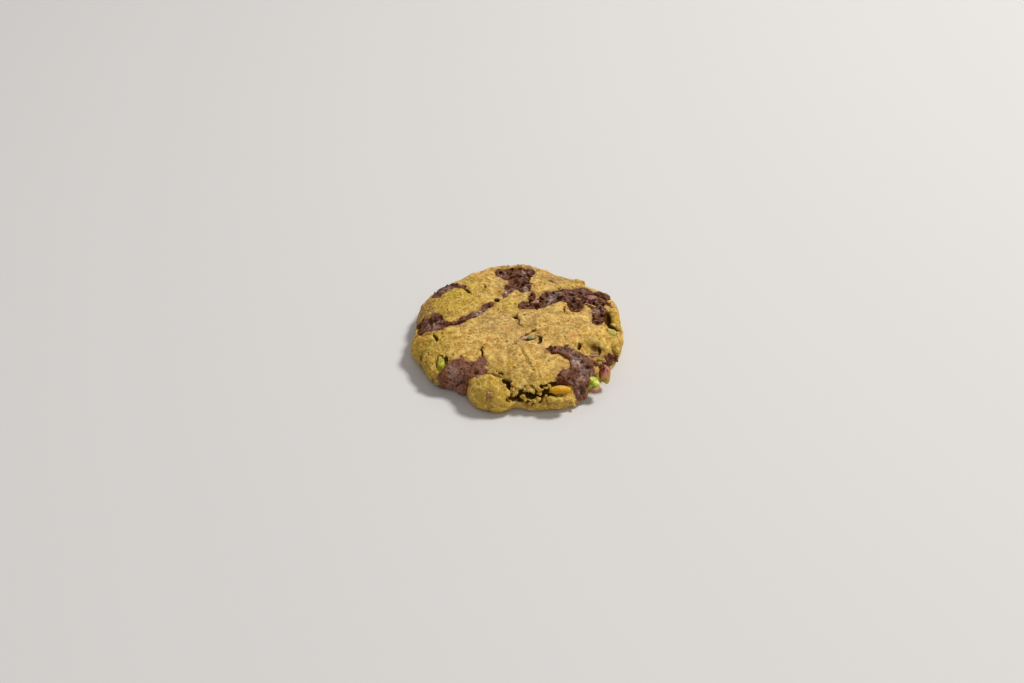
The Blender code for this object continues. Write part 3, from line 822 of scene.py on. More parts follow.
def scattered_specks():
    """Small round specks of Edge times Size, thicker in some places than in others."""
    n = ShaderGroup("scattered_specks", "Mask", "Float", Size=1.4, Edge=0.25, Spread_Size=4.0, Amount=1.0)
    given = n.given
    inputs = {"Vector": n.place, "Scale": n.sum("DIVIDE", 1.0 / MM, given["Size"])}
    cells = n.add("ShaderNodeTexVoronoi", inputs)
    inner = n.sum("MULTIPLY", given["Edge"], 0.55)
    speck = n.ramp(cells.outputs["Distance"], given["Edge"], inner)
    spread = n.ramp(n.noise(given["Spread Size"], 2.0, 0.5, 0.0), 0.40, 0.56)
    mask = n.sum("MULTIPLY", n.sum("MULTIPLY", speck, spread), given["Amount"])
    n.wire(mask, n.out)
    return n.tree


def uneven_relief():
    """Bumps of two sizes, with their depths in millimetres."""
    n = ShaderGroup("uneven_relief", "Normal", "Vector",
                    Coarse_Size=1.6, Coarse_Depth=0.8, Fine_Size=0.6, Fine_Depth=0.3)
    normal = None
    for label in ("Coarse", "Fine"):
        inputs = {"Height": n.noise(n.given[label + " Size"], 3.0, 0.6, 0.0),
                  "Distance": n.sum("MULTIPLY", n.given[label + " Depth"], MM)}
        if normal is not None:
            inputs["Normal"] = normal
        normal = n.add("ShaderNodeBump", inputs).outputs["Normal"]
    n.wire(normal, n.out)
    return n.tree


PATCHES = uneven_patches()
SPECKS = scattered_specks()
RELIEF = uneven_relief()


class Look(Nodes):
    """A new material, laid out around its principled shader."""

    def __init__(self, name, roughness, specular):
        self.material = bpy.data.materials.new(name)
        self.material.use_nodes = True
        super().__init__(self.material.node_tree)
        self.skin = self.tree.nodes["Principled BSDF"].inputs
        self.skin["Roughness"].default_value = roughness
        self.skin["Specular IOR Level"].default_value = specular
        self.place = self.add("ShaderNodeTexCoord").outputs["Object"]
        self.colour = None

    def group(self, tree, **values):
        """Places a shader group; its inputs are given as coarse_size=1.6 for Coarse Size."""
        inputs = {label.replace("_", " ").title(): value for label, value in values.items()}
        return self.add("ShaderNodeGroup", {"Place": self.place, **inputs}, node_tree=tree).outputs[0]

    def patches(self, size, low, high, amount=1.0, **values):
        return self.group(PATCHES, size=size, low=low, high=high, amount=amount, **values)

    def attribute(self, name, amount=1.0):
        value = self.add("ShaderNodeAttribute", attribute_name=name).outputs["Fac"]
        return value if amount == 1.0 else self.sum("MULTIPLY", value, amount)

    def within(self, name, *sizes, **values):
        """Patches that show only as far as an attribute does."""
        return self.sum("MULTIPLY", self.attribute(name), self.patches(*sizes, **values))

    def blend(self, amount, a, b):
        a, b = ((*value, 1.0) if isinstance(value, tuple) else value for value in (a, b))
        inputs = {"Factor": amount, 6: a, 7: b}
        return self.add("ShaderNodeMix", inputs, data_type="RGBA", blend_type="MIX").outputs[2]

    def over(self, mask, tint):
        """Lays a tint over the colour where the mask is."""
        self.colour = self.blend(mask, self.colour, tint)

    def finish(self, coarse_size, coarse_depth, fine_size, fine_depth):
        """Wires the colour and the relief to the shader."""
        self.wire(self.colour, self.skin["Base Color"])
        relief = self.group(RELIEF, coarse_size=coarse_size, coarse_depth=coarse_depth,
                            fine_size=fine_size, fine_depth=fine_depth)
        self.wire(relief, self.skin["Normal"])
        return self.material


def dough_material():
    n = Look("baked_dough", 0.78, 0.08)
    # Broad swings of the bake, then patches, mottling and sand, from large to small
    n.colour = n.blend(n.patches(9.0, 0.34, 0.66), (0.450, 0.262, 0.050), (0.655, 0.395, 0.088))
    n.over(n.patches(4.6, 0.50, 0.66, 0.75, distortion=0.8), (0.53, 0.362, 0.135))
    n.over(n.patches(4.6, 0.47, 0.31, 0.8, distortion=0.8), (0.55, 0.262, 0.028))
    n.over(n.patches(3.0, 0.46, 0.66, 0.8, detail=4.0), (0.88, 0.580, 0.170))
    n.over(n.patches(3.0, 0.48, 0.30, 0.8, detail=4.0), (0.33, 0.165, 0.032))
    n.over(n.within("green", 3.0, 0.15, 0.5, 0.9), (0.49, 0.318, 0.018))
    n.over(n.within("pale", 2.4, 0.25, 0.6, 0.8), (0.365, 0.250, 0.102))
    n.over(n.patches(1.6, 0.48, 0.72, 0.62), (0.88, 0.63, 0.220))
    n.over(n.patches(1.6, 0.50, 0.28, 0.65), (0.30, 0.145, 0.025))
    n.over(n.patches(0.8, 0.50, 0.74, 0.42), (0.92, 0.66, 0.25))
    n.over(n.patches(0.8, 0.48, 0.26, 0.45), (0.24, 0.12, 0.022))
    n.over(n.within("orange", 1.2, 0.3, 0.5), (0.58, 0.21, 0.040))
    # Painted shade: darker olive at the shade places
    n.over(n.within("shade", 1.6, 0.25, 0.5), (0.19, 0.125, 0.022))
    n.over(n.within("stain", 1.8, 0.34, 0.56, detail=4.0, roughness=0.65), (0.20, 0.085, 0.042))
    n.over(n.within("smear", 1.8, 0.36, 0.60, 0.75), (0.27, 0.135, 0.058))
    for size, spread_size, amount in ((2.4, 5.0, 0.9), (1.2, 3.0, 0.6)):
        specks = n.group(SPECKS, size=size, edge=0.24, spread_size=spread_size, amount=amount)
        n.over(specks, (0.21, 0.078, 0.018))
    # Painted shade: concave places of the surface are darkened
    n.over(n.attribute("hollow", 0.7), (0.24, 0.115, 0.010))
    # Painted shade: what lies deep under the uncut crust, inside cracks, nicks, hollows and the cave, is
    # painted near black
    n.over(n.attribute("depth", 0.93), (0.085, 0.034, 0.003))
    return n.finish(1.8, 0.62, 0.6, 0.17)


def chocolate_material(name, dark, light, glossy, dull, specular, fine_depth, painted_pit_shade_and_crest_light):
    """Melted chocolate; the last argument is how strongly small random specks show: near-black ones as
    painted shade of pits, light ones as painted light on crests.
    """
    n = Look(name, dull, specular)
    n.colour = n.blend(n.patches(3.6, 0.36, 0.64, detail=4.0, roughness=0.6), dark, light)
    n.over(n.patches(2.6, 0.54, 0.66, 0.6, distortion=0.6), (0.150, 0.036, 0.009))
    # Painted light and shade: light random specks stand for lit crests, near-black ones for shaded pits
    n.over(n.patches(1.1, 0.50, 0.64, 0.6 * painted_pit_shade_and_crest_light), (0.25, 0.088, 0.036))
    n.over(n.patches(1.1, 0.49, 0.36, 0.9 * painted_pit_shade_and_crest_light), (0.014, 0.003, 0.001))
    # Painted highlight: convex places are lighter
    n.over(n.attribute("ridge", 0.5), (0.21, 0.075, 0.034))
    n.over(n.within("edge", 2.4, 0.34, 0.56, 0.75), (0.165, 0.042, 0.012))
    # Partly fat bloom, partly painted highlight: a pale pink-white colour at the glossy places
    n.over(n.within("gloss_and_painted_highlight", 1.3, 0.40, 0.56, 0.8), (0.46, 0.30, 0.245))
    # Painted shade: concave places are darkened to near black
    n.over(n.attribute("hollow", 0.95), (0.015, 0.0035, 0.001))
    wet = n.sum("MAXIMUM", n.attribute("gloss_and_painted_highlight"), n.patches(1.7, 0.52, 0.58))
    rough = n.add("ShaderNodeMapRange", {"Value": wet, "To Min": dull, "To Max": glossy})
    n.wire(rough.outputs["Result"], n.skin["Roughness"])
    return n.finish(1.5, 3.0 * fine_depth, 0.7, fine_depth)


def kernel_material(name, flesh, pale, peel, peel_from, peel_above, spotted):
    n = Look(name, 0.42, 0.22)
    n.colour = n.blend(n.patches(1.8, 0.38, 0.62, distortion=0.6), flesh, pale)
    height = n.add("ShaderNodeSeparateXYZ", {0: n.place}).outputs["Z"]
    level = n.sum("ADD", height, n.patches(2.2, 0.2, 0.8, 5.0 * MM, distortion=0.8))
    skin = n.ramp(level, (peel_from + 2.0) * MM, (peel_from + 3.0) * MM)
    if not peel_above:
        skin = n.sum("SUBTRACT", 1.0, skin)
    n.over(skin, peel)
    n.over(n.patches(0.7, 0.50, 0.68, spotted), peel)
    n.over(n.patches(1.1, 0.46, 0.32, spotted), (0.16, 0.085, 0.008))
    n.over(n.within("blush", 1.2, 0.3, 0.5), (0.17, 0.010, 0.030))
    # Painted shade: concave places are darkened
    n.over(n.attribute("hollow", 0.7), (0.10, 0.06, 0.01))
    return n.finish(1.4, 0.5, 0.6, 0.2)


def nut_bit_material():
    n = Look("nut_bits", 0.55, 0.5)
    ramp = n.add("ShaderNodeValToRGB", {"Fac": n.attribute("tint")})
    stops = ramp.color_ramp.elements
    stops[0].position, stops[0].color = 0.0, (0.20, 0.18, 0.025, 1.0)
    stops[1].position, stops[1].color = 1.0, (0.24, 0.062, 0.014, 1.0)
    for place, colour in ((0.2, (0.52, 0.38, 0.05, 1.0)), (0.5, (0.42, 0.20, 0.12, 1.0))):
        stops.new(place).color = colour
    n.colour = ramp.outputs["Color"]
    n.over(n.patches(0.8, 0.46, 0.64, 0.6), (0.20, 0.08, 0.04))
    n.over(n.patches(1.4, 0.5, 0.66, 0.5), (0.60, 0.40, 0.16))
    return n.finish(1.2, 0.4, 0.5, 0.2)


def plan_mask(points, places):
    value = np.zeros(len(points))
    for px, py, spread, strength in places:
        value += strength * bump(np.hypot(points[:, 0] - px, points[:, 1] - py), spread)
    return np.clip(value, 0.0, 1.0)


def roughen(shell):
    """Broad swells, lumps and crags of the baked surface, which end above the flat underside."""
    spots = shell.spots
    value = shell.over.copy()
    for x, y, z, spread, height in SWELLS:
        value = value - height * bump(np.linalg.norm(spots - (x, y, z), axis=1), spread)
    for depth, size, seed in SURFACE_LUMPS:
        value += depth * lattice_noise(spots, size, seed)
    crag = np.clip(np.abs(lattice_noise(spots, 5.0, 21)) * 6.0, 0.0, 1.0)
    value += CRAG_HEIGHT * (1.0 - crag)
    share = np.clip((spots[:, 2] - SMOOTH_BELOW) / (ROUGH_ABOVE - SMOOTH_BELOW), 0.0, 1.0)
    return shell.over + (value - shell.over) * share


def chunk_field(block, shell, plain, slopes, name, dough_value):
    """Signed distances of one melted chunk, and how far each shell voxel is from its footprint."""
    bulge, cell, depth, sharp, arms = CHUNKS[name]
    points, triangles = mesh_arrays(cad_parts[name])
    solid = block.solid(points, triangles)
    pick = shell.near(points.min(0) - ARM_REACH, points.max(0) + ARM_REACH)
    under = shell.under[pick]
    seed = 17 * len(name)
    away = block.sample(solid, under) - OUTLINE_GROWTH
    for line, start_radius, end_radius in arms:
        line = [settle(block, plain, slopes, p) for p in line]
        away = soft_min(away, line_distance(under, line, start_radius, end_radius), 0.6)
    away += 0.40 * lattice_noise(under, 1.9, seed) + 0.28 * lattice_noise(under, 0.8, seed + 1)
    smooth = np.maximum(plan_mask(under, SMOOTH_PLACES), 0.6 * plan_mask(under, GLOSS_AND_PAINTED_HIGHLIGHT_PLACES))
    spots = shell.spots[pick]
    bend = np.stack([lattice_noise(spots, 3.6, seed + 8 + i) for i in range(3)], -1)
    fold = layered_noise(spots + 1.1 * bend, cell, seed + 2, 2, 0.4)
    fold = 1.0 - 2.4 * np.abs(fold) if sharp else fold
    top = dough_value[pick] - bulge - depth * (fold * (1.0 - smooth) + 0.35 * smooth)
    top -= (0.12 if sharp else 0.07) * lattice_noise(spots, 1.1, seed + 6)
    for x, y, spread, pit in PITS:
        top += pit * bump(np.hypot(under[:, 0] - x, under[:, 1] - y), spread)
    value = soft_max(away, top, 0.5)
    value = np.maximum(value, -(shell.over[pick] + CHUNK_DEPTH))
    chunk = shell.filled(block, pick, value)[1]
    footprint, ground = shell.filled(block, pick, away)
    chunk = np.maximum(chunk, block.z - HIGHEST_CREST)
    return np.maximum(chunk, LOWEST_CHOCOLATE - block.z), footprint, ground


def carve_hollow(block, field, hollow, cell, seed):
    x, y, z, a, b, c, turn, ragged = hollow
    w = block.window((x, y, z), max(a, b, c) + 2.5)
    shape = block.ball((x, y, z, a, b, c, turn), w)
    near = np.abs(shape) < 2.0
    grid = np.stack(np.broadcast_arrays(block.x[w[0]], block.y[:, w[1]], block.z[:, :, w[2]]), -1)[near]
    shape[near] += ragged * layered_noise(grid, cell, seed, 2, 0.5)
    field[w] = soft_max(field[w], -shape, 0.35)


def add_balls(block, field, balls, softness):
    for x, y, z, size, squash, turn in balls:
        w = block.window((x, y, z), size + 2.0)
        field[w] = soft_min(field[w], block.ball((x, y, z, size, size * squash, size, turn), w), softness)


def crevice_crumbs():
    """Crumbs that bridge the front cave, in heaps, and a loose row under its roof."""
    rng = np.random.default_rng(12)
    heaps = [(-1.4, -45.6, 8.6, 1.2, 10), (2.4, -46.6, 7.4, 1.3, 14), (8.4, -46.8, 6.8, 1.4, 14),
             (11.6, -46.4, 7.4, 1.0, 8), (5.2, -46.8, 5.0, 1.1, 8), (-2.6, -44.8, 9.8, 1.0, 6),
             (9.6, -45.6, 8.8, 0.8, 6)]
    for x, y, z, spread, count in heaps:
        for _ in range(count):
            dx, dy, dz = rng.normal(0.0, 0.6, 3) * spread
            size = rng.uniform(0.32, 0.85)
            yield (x + dx, y + dy * 0.5, max(z + dz, 1.0), size, rng.uniform(0.6, 1.3), rng.uniform(0, 180))
    for _ in range(34):
        x = rng.uniform(-3.0, 15.0)
        z = 10.6 + 0.03 * (x - 6.0) ** 2 - rng.uniform(0.0, 1.4)
        yield (x, -44.8 + 0.03 * (x - 6.0) ** 2 - rng.uniform(0.0, 0.9), z, rng.uniform(0.3, 0.7), 1.0, 0.0)


def cut_surface(block, field, rng):
    """Hollows, cracks, many small nicks, and the crumbs of the cave."""
    for number, (name, hollow) in enumerate(HOLLOWS.items()):
        carve_hollow(block, field, hollow, 1.5 if name in CRUMBLED_HOLLOWS else 2.4, 300 + 2 * number)
    height = top_of(block, field)
    for number, (line, half_width, depth) in enumerate(CRACKS.values()):
        cut_crack(block, field, height, line, half_width, depth, 40 + number)
    for _ in range(SMALL_NICKS):
        angle = rng.uniform(0.0, 2.0 * math.pi)
        r = NICKS_WITHIN * math.sqrt(rng.uniform(0.0, 1.0))
        x, y = r * math.cos(angle), r * math.sin(angle)
        lean = rng.uniform(0.0, math.pi)
        reach = rng.uniform(0.3, 1.5)
        line = [(x, y), (x + reach * math.cos(lean), y + reach * math.sin(lean))]
        half_width, depth = rng.uniform(0.22, 0.42), rng.uniform(0.5, 1.2)
        cut_crack(block, field, height, line, half_width, depth, rng.integers(1e6))
    add_balls(block, field, crevice_crumbs(), 0.3)


def build_chunks(block, plain, shell, field, dough_value):
    """Makes the chunks and cuts their pockets into the dough; returns how near the chunks are."""
    slopes = np.gradient(plain, block.voxel)
    looks = {name: chocolate_material(name, *values) for name, values in CHOCOLATE_LOOKS.items()}
    nearest = np.full(tuple(block.count), BAND, np.float32)
    for name in CHUNKS:
        chunk, footprint, ground = chunk_field(block, shell, plain, slopes, name, dough_value)
        nearest = np.minimum(nearest, ground)
        mesh, points = skin_mesh(name, block, chunk)
        bend = block.sample(blurred(chunk, 2), points)
        # How concave the chunk is; the material paints shade in it
        add_attribute(mesh, "hollow", np.clip((0.02 - bend) / 0.26, 0.0, 1.0))
        # How convex the chunk is; the material paints light on it
        add_attribute(mesh, "ridge", np.clip((bend - 0.08) / 0.4, 0.0, 1.0))
        add_attribute(mesh, "edge", np.clip(block.sample(ground, points) + 1.1, 0.0, 1.0))
        # Where the chunk is glossy, and where its material paints a pale highlight
        add_attribute(mesh, "gloss_and_painted_highlight", plan_mask(points, GLOSS_AND_PAINTED_HIGHLIGHT_PLACES))
        look = looks[CHOCOLATE_KINDS.get(name, "melted_chocolate")]
        new_piece(name + "_melted", mesh, look, name, slot="chocolate")
        raised = 0.45 * bump(footprint - 0.25, 0.4)
        rim = raised * np.clip(lattice_noise(shell.spots, 2.2, 77), 0.0, 1.0)
        pocket = -np.maximum(footprint + CHUNK_GAP, -(shell.over + POCKET_DEPTH))
        field[shell.mask] = np.maximum(field[shell.mask] + rim, pocket)
    return nearest


def add_strands(block, field, rng):
    """Rows of uneven lumps of dough along the strands."""
    for line, radius in DOUGH_STRANDS.values():
        line = [np.array(p) for p in line]
        for a, b in zip(line, line[1:]):
            steps = max(1, int(np.linalg.norm(b - a) / (radius * 0.5)))
            balls = []
            for i in range(steps + 1):
                x, y, z = a + (b - a) * i / steps
                balls.append((x, y, z, radius * rng.uniform(0.75, 1.15), 1.0, 0.0))
            add_balls(block, field, balls, 0.35)


def build_dough(block, field, crust, nearest):
    mesh, _ = skin_mesh("dough", block, field)
    close_flat_foot(mesh, FLAT_FOOT)
    mesh = thinned(mesh, DOUGH_TRIANGLES)
    points = vertex_places(mesh)
    points[:, 2] = np.maximum(points[:, 2], 0.0)
    mesh.vertices.foreach_set("co", (points * MM).astype(np.float32).ravel())
    # How concave the surface is; the material paints shade with it
    add_attribute(mesh, "hollow", np.clip(-block.sample(blurred(field, 2), points) / 0.5, 0.0, 1.0))
    # How deep under the uncut crust; the material paints shade with it
    add_attribute(mesh, "depth", np.clip((-block.sample(crust, points) - 0.3) / 0.9, 0.0, 1.0))
    add_attribute(mesh, "smear", np.clip(1.0 - block.sample(nearest, points) / 1.3, 0.0, 1.0))
    for name, places in TINTED_PLACES.items():
        add_attribute(mesh, name, plan_mask(points, places))
    new_piece("dough_baked", mesh, dough_material(), "dough", slot="dough")


def build_cookie():
    low, high = (np.array(corner) / MM for corner in cad_box)
    block = Block(low - BLOCK_MARGIN, high + BLOCK_MARGIN, COOKIE_VOXEL)
    plain = plain_dough(block)
    shell = Shell(block, plain, SHELL_REACH)
    field = plain.copy()
    dough_value = roughen(shell)
    field[shell.mask] = dough_value
    crust = field.copy()
    rng = np.random.default_rng(5)
    cut_surface(block, field, rng)
    nearest = build_chunks(block, plain, shell, field, dough_value)
    for name in KERNEL_LOOKS:
        field = np.maximum(field, KERNEL_GAP - block.solid(*kernel_arrays(name)))
    add_strands(block, field, rng)
    field = np.maximum(np.maximum(field, block.z - HIGHEST_CREST), -block.z)
    build_dough(block, field, crust, nearest)


# Each kernel: flesh, paler flesh, skin, the height where the skin starts, whether the skin is
# above that, and how spotted it is
KERNEL_LOOKS = {
    "pistachio_left": ((0.24, 0.22, 0.003), (0.50, 0.45, 0.02), (0.34, 0.26, 0.03), 14.4, True, 0.4),
    "pistachio_front_green": ((0.36, 0.46, 0.014), (0.82, 0.86, 0.200), (0.56, 0.38, 0.08), 5.4, False, 0.3),
    "pistachio_pale": ((0.42, 0.38, 0.03), (0.70, 0.62, 0.16), (0.50, 0.30, 0.06), 13.0, False, 0.5),
    "pistachio_golden": ((0.62, 0.275, 0.0008), (0.74, 0.385, 0.002), (0.28, 0.13, 0.002), 8.6, False, 0.12),
    "pistachio_rose": ((0.38, 0.25, 0.010), (0.66, 0.46, 0.06), (0.66, 0.29, 0.18), 7.4, True, 0.5),
    "pistachio_in_band": ((0.27, 0.085, 0.060), (0.40, 0.17, 0.12), (0.15, 0.030, 0.040), 15.0, False, 0.5),
}

# How each kernel sits: moved by, sizes times, number of cut facets, height of its bumps
KERNEL_SHAPES = {
    "pistachio_left": ((0.1, -0.7, -0.9), (1.0, 1.05, 1.0), 7, 0.24),
    "pistachio_front_green": ((-0.9, 0.6, 0.5), (1.1, 1.0, 0.95), 7, 0.3),
    "pistachio_pale": ((0.1, -0.7, 0.1), (0.92, 0.85, 0.9), 6, 0.24),
    "pistachio_golden": ((0.3, 0.6, 1.0), (1.1, 1.04, 0.94), 0, 0.08),
    "pistachio_rose": ((-0.5, -0.1, -0.3), (1.0, 1.0, 1.0), 7, 0.24),
    "pistachio_in_band": ((0.0, 0.0, -0.3), (1.0, 1.0, 0.9), 3, 0.2),
}

# Magenta spots of the kernels' skin: (x, y, spread, strength)
BLUSH_PLACES = [(36.8, -29.8, 1.2, 1.2), (31.8, 13.4, 1.1, 1.0), (38.8, -30.8, 0.6, 0.7)]

# Bits of nut bedded in the dough and the chocolate: (x, y, z, half sizes, turn, tint from 0 to 1)
NUT_BITS = [
    (5.9, -15.8, 16.3, 2.2, 1.2, 0.8, 15, 0.0), (0.6, -18.7, 16.6, 1.5, 0.9, 0.6, 40, 0.45),
    (27.3, 11.4, 17.4, 1.3, 0.9, 0.7, -20, 0.9), (8.0, 9.6, 17.1, 2.2, 1.1, 0.7, 20, 1.0),
    (33.0, -25.4, 13.5, 2.0, 0.7, 0.7, 5, 0.7), (36.4, -26.6, 12.4, 1.2, 1.0, 0.9, 0, 0.15),
    (-12.3, -47.9, 10.6, 0.9, 0.7, 1.3, 10, 0.5), (7.2, -1.0, 16.9, 0.7, 0.6, 0.4, 0, 0.5),
    (23.8, -45.6, 2.6, 1.0, 0.8, 0.6, 0, 0.2), (-24.6, -6.9, 16.5, 1.2, 1.0, 0.4, 30, 0.5),
    (-7.4, 10.4, 16.8, 0.9, 0.6, 0.4, 0, 0.1), (35.4, -27.8, 11.4, 1.0, 0.8, 0.9, 20, 0.2),
    (37.2, -26.2, 11.2, 0.9, 0.7, 0.8, 0, 0.5), (34.2, -28.4, 12.2, 0.8, 0.6, 0.6, 0, 0.8),
    (2.6, -16.4, 16.5, 1.7, 1.1, 0.5, 35, 0.45), (33.4, -39.0, 5.6, 2.7, 1.5, 1.3, 18, 0.5),
    (-30.6, -27.9, 11.4, 1.1, 0.7, 0.9, 70, 0.0),
]


def kernel_arrays(name):
    """A kernel's plain solid, moved and resized to how the real one sits."""
    points, triangles = mesh_arrays(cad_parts[name])
    moved, sizes = KERNEL_SHAPES[name][:2]
    middle = points.mean(0)
    return middle + (points - middle) * sizes + moved, triangles


def build_kernels():
    slots = {"pistachio_golden": "pistachio_golden", "pistachio_rose": "pistachio_skin",
             "pistachio_in_band": "pistachio_skin"}
    for number, (name, look) in enumerate(KERNEL_LOOKS.items()):
        points, triangles = kernel_arrays(name)
        block = Block(points.min(0) - 2.5, points.max(0) + 2.5, KERNEL_VOXEL)
        facets, bumps = KERNEL_SHAPES[name][2:]
        field = blurred(block.solid(points, triangles), 1 if facets else 4) - 0.2
        where = np.abs(field) < 2.8
        spots = block.points(where)
        value = field[where] + bumps * layered_noise(spots, 2.6, 70 + number, 2, 0.4)
        rng = np.random.default_rng(110 + number)
        for _ in range(facets):
            way = rng.normal(0.0, 1.0, 3)
            way /= np.linalg.norm(way)
            reach = (points @ way).max() - rng.uniform(0.35, 0.75)
            value = soft_max(value, (spots @ way - reach).astype(np.float32), 0.18)
        field[where] = value
        field = np.maximum(field, LOWEST_KERNEL - block.z)
        mesh, points = skin_mesh(name, block, field)
        bend = block.sample(blurred(field, 2), points)
        # How concave the kernel is; the material paints shade with it
        add_attribute(mesh, "hollow", np.clip(-bend / 0.2, 0.0, 1.0))
        add_attribute(mesh, "blush", plan_mask(points, BLUSH_PLACES))
        material = kernel_material(name, *look)
        new_piece(name + "_nut", mesh, material, name, slot=slots.get(name, "pistachio_green"))


# Where loose crumbs lie: (x, y, spread, strength)
CRUMBLY_PLACES = [
    (-28, 12, 7, 1.0), (4, -43, 6, 0.9), (35, -26, 4, 1.0), (40, 4, 3, 0.7), (27, 29, 3, 1.0),
    (-4, 8, 3, 0.6), (-36, -12, 3, 0.6), (24, 8, 4, 0.5), (42, -17, 4, 0.7),
]


def crumb_scatter():
    """Crumbs spread over a surface where its crumbly attribute is high, as a tree of nodes."""
    n = Nodes(bpy.data.node_groups.new("loose_crumbs", "GeometryNodeTree"))
    n.socket("Geometry", "Geometry")
    n.socket("Crumbs Per Square Metre", "Float", 60000.0)
    n.socket("Smallest", "Float", 0.22 * MM)
    n.socket("Largest", "Float", 0.6 * MM)
    n.socket("Look", "Material")
    n.socket("Geometry", "Geometry", way="OUTPUT")
    given = n.add("NodeGroupInput").outputs
    crumbly = n.add("GeometryNodeInputNamedAttribute", {"Name": "crumbly"}, data_type="FLOAT")
    amount = n.sum("MULTIPLY", crumbly.outputs["Attribute"], given["Crumbs Per Square Metre"])
    inputs = {"Mesh": given["Geometry"], "Density": amount, "Seed": 7}
    spread = n.add("GeometryNodeDistributePointsOnFaces", inputs)
    crumb = n.add("GeometryNodeMeshIcoSphere", {"Radius": 1.0, "Subdivisions": 2})
    ragged = n.add("ShaderNodeTexNoise", {"Scale": 1.3})
    inputs = {0: ragged.outputs["Color"], 1: (0.5, 0.5, 0.5)}
    centred = n.add("ShaderNodeVectorMath", inputs, operation="SUBTRACT")
    lump = n.add("ShaderNodeVectorMath", {0: centred.outputs[0], "Scale": 1.6}, operation="SCALE")
    inputs = {"Geometry": crumb.outputs["Mesh"], "Offset": lump.outputs[0]}
    shaped = n.add("GeometryNodeSetPosition", inputs)
    inputs = {2: given["Smallest"], 3: given["Largest"], "Seed": 3}
    size = n.add("FunctionNodeRandomValue", inputs, data_type="FLOAT")
    inputs = {1: (6.28, 6.28, 6.28), "Seed": 4}
    turn = n.add("FunctionNodeRandomValue", inputs, data_type="FLOAT_VECTOR")
    inputs = {"Points": spread.outputs["Points"], "Instance": shaped.outputs["Geometry"],
              "Rotation": turn.outputs[0], "Scale": size.outputs[1]}
    placed = n.add("GeometryNodeInstanceOnPoints", inputs)
    real = n.add("GeometryNodeRealizeInstances", {"Geometry": placed.outputs["Instances"]})
    inputs = {"Geometry": real.outputs["Geometry"], "Material": given["Look"]}
    look = n.add("GeometryNodeSetMaterial", inputs)
    n.add("NodeGroupOutput", {"Geometry": look.outputs["Geometry"]})
    return n.tree


def build_crumbs(dough_look):
    mesh = bpy.data.objects["dough_baked"].data.copy()
    points = vertex_places(mesh)
    high = np.clip((points[:, 2] - 5.0) / 3.0, 0.0, 1.0)
    smear = np.empty(len(mesh.vertices))
    mesh.attributes["smear"].data.foreach_get("value", smear)
    crumbly = np.maximum(plan_mask(points, CRUMBLY_PLACES), 0.06)
    add_attribute(mesh, "crumbly", np.maximum(crumbly, 0.5 * smear) * high)
    bed = in_scene("crumb_bed", mesh)
    scatter = bed.modifiers.new("crumbs", "NODES")
    scatter.node_group = crumb_scatter()
    for item in scatter.node_group.interface.items_tree:
        if item.in_out == "INPUT" and item.name == "Look":
            scatter[item.identifier] = dough_look
    crumbs = taken_out(bed)
    crumbs.name = "loose_crumbs"
    new_piece("loose_crumbs", crumbs, None, slot="dough")


def build_nut_bits():
    bm = bmesh.new()
    layer = bm.verts.layers.float.new("tint")
    rng = np.random.default_rng(31)
    for x, y, z, a, b, c, turn, tint in NUT_BITS:
        made = bmesh.ops.create_icosphere(bm, subdivisions=3, radius=1.0)["verts"]
        wave = rng.uniform(0.0, 6.28, 6)
        spin = Matrix.Rotation(math.radians(turn), 4, "Z")
        for v in made:
            p = v.co.copy()
            lump = 1.0 + 0.10 * math.sin(4.0 * p.x + wave[0]) + 0.10 * math.sin(4.6 * p.y + wave[1])
            lump += 0.07 * math.sin(6.0 * (p.x + p.z) + wave[2])
            p = spin @ Vector((p.x * a * lump, p.y * b * lump, p.z * c * lump))
            v.co = (p + Vector((x, y, z))) * MM
            v[layer] = tint
    mesh = bpy.data.meshes.new("nut_bits")
    bm.to_mesh(mesh)
    bm.free()
    new_piece("nut_bits", mesh, nut_bit_material(), slot="pistachio_skin")


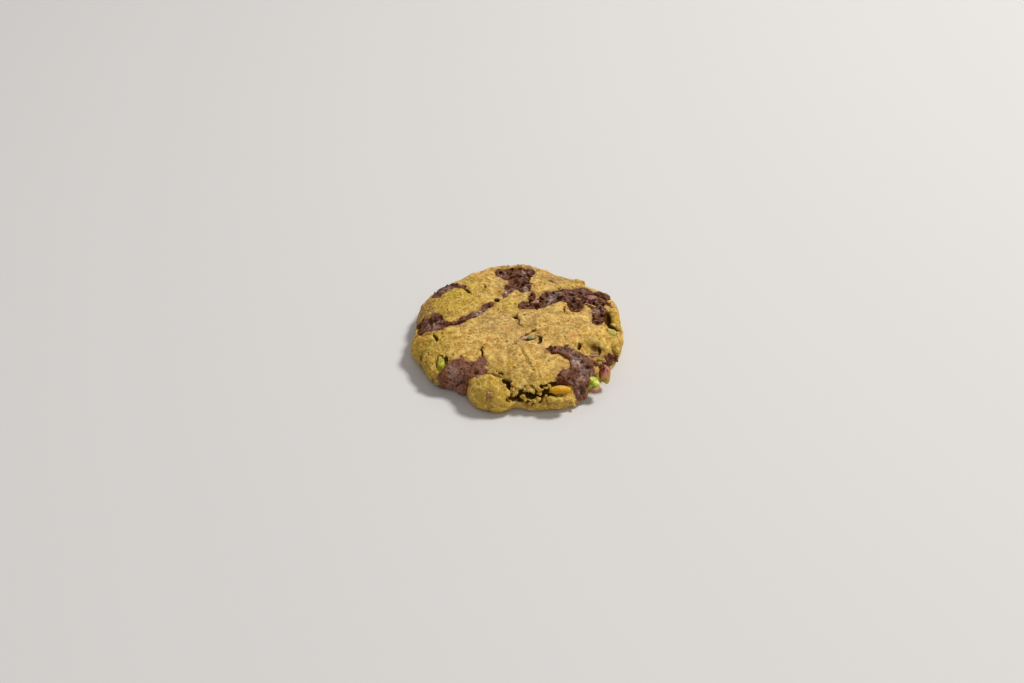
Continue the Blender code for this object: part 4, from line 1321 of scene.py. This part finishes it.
def build_stage():
    bm = bmesh.new()
    bmesh.ops.create_grid(bm, x_segments=2, y_segments=2, size=3.0)
    mesh = bpy.data.meshes.new("floor")
    bm.to_mesh(mesh)
    bm.free()
    floor = in_scene("floor", mesh)
    look = Look("pale_floor", 0.8, 0.1)
    look.skin["Base Color"].default_value = (0.655, 0.642, 0.638, 1.0)
    mesh.materials.append(look.material)
    floor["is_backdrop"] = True


def add_softbox(name, place, size, power, colour, lights_surfaces=True):
    """A round light aimed at the cookie; one that lights no surfaces is only seen in reflections."""
    light = bpy.data.lights.new(name, "AREA")
    light.shape = "DISK"
    light.size = size
    light.energy = power
    light.color = colour
    lamp = in_scene(name, light)
    lamp.location = place
    lamp.rotation_euler = (-Vector(place)).to_track_quat("-Z", "Y").to_euler()
    lamp.visible_diffuse = lights_surfaces


def build_light_and_camera():
    scene = bpy.context.scene
    scene.view_settings.view_transform = "Standard"
    world = bpy.data.worlds.new("studio")
    world.use_nodes = True
    sky = world.node_tree.nodes["Background"]
    sky.inputs["Color"].default_value = (1.0, 0.985, 0.965, 1.0)
    sky.inputs["Strength"].default_value = 0.30
    scene.world = world
    add_softbox("window", (1.15, 0.55, 1.9), 0.55, 43.5, (1.0, 0.985, 0.955))
    add_softbox("bounce", (0.2, -1.6, 1.6), 1.2, 6.0, (1.0, 0.98, 0.96))
    add_softbox("glint", (0.25, 1.22, 1.27), 0.42, 38.0, (1.0, 0.945, 0.90), lights_surfaces=False)

    tilt = math.radians(37.0)
    away = 0.634
    aim = Vector((-0.0025, -0.0063, 0.007))
    look = Vector((0.0, math.cos(tilt), -math.sin(tilt)))
    lens = bpy.data.cameras.new("camera")
    lens.lens = 50.0
    lens.sensor_width = 36.0
    camera = in_scene("camera", lens)
    camera.location = aim - look * away
    camera.rotation_euler = look.to_track_quat("-Z", "Y").to_euler()
    scene.camera = camera


build_cookie()
build_kernels()
build_nut_bits()
build_crumbs(bpy.data.materials["baked_dough"])
build_stage()
build_light_and_camera()

boxes = {"cad": cad_box, "visual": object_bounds()}
{key: [list(map(float, corner)) for corner in box] for key, box in boxes.items()}
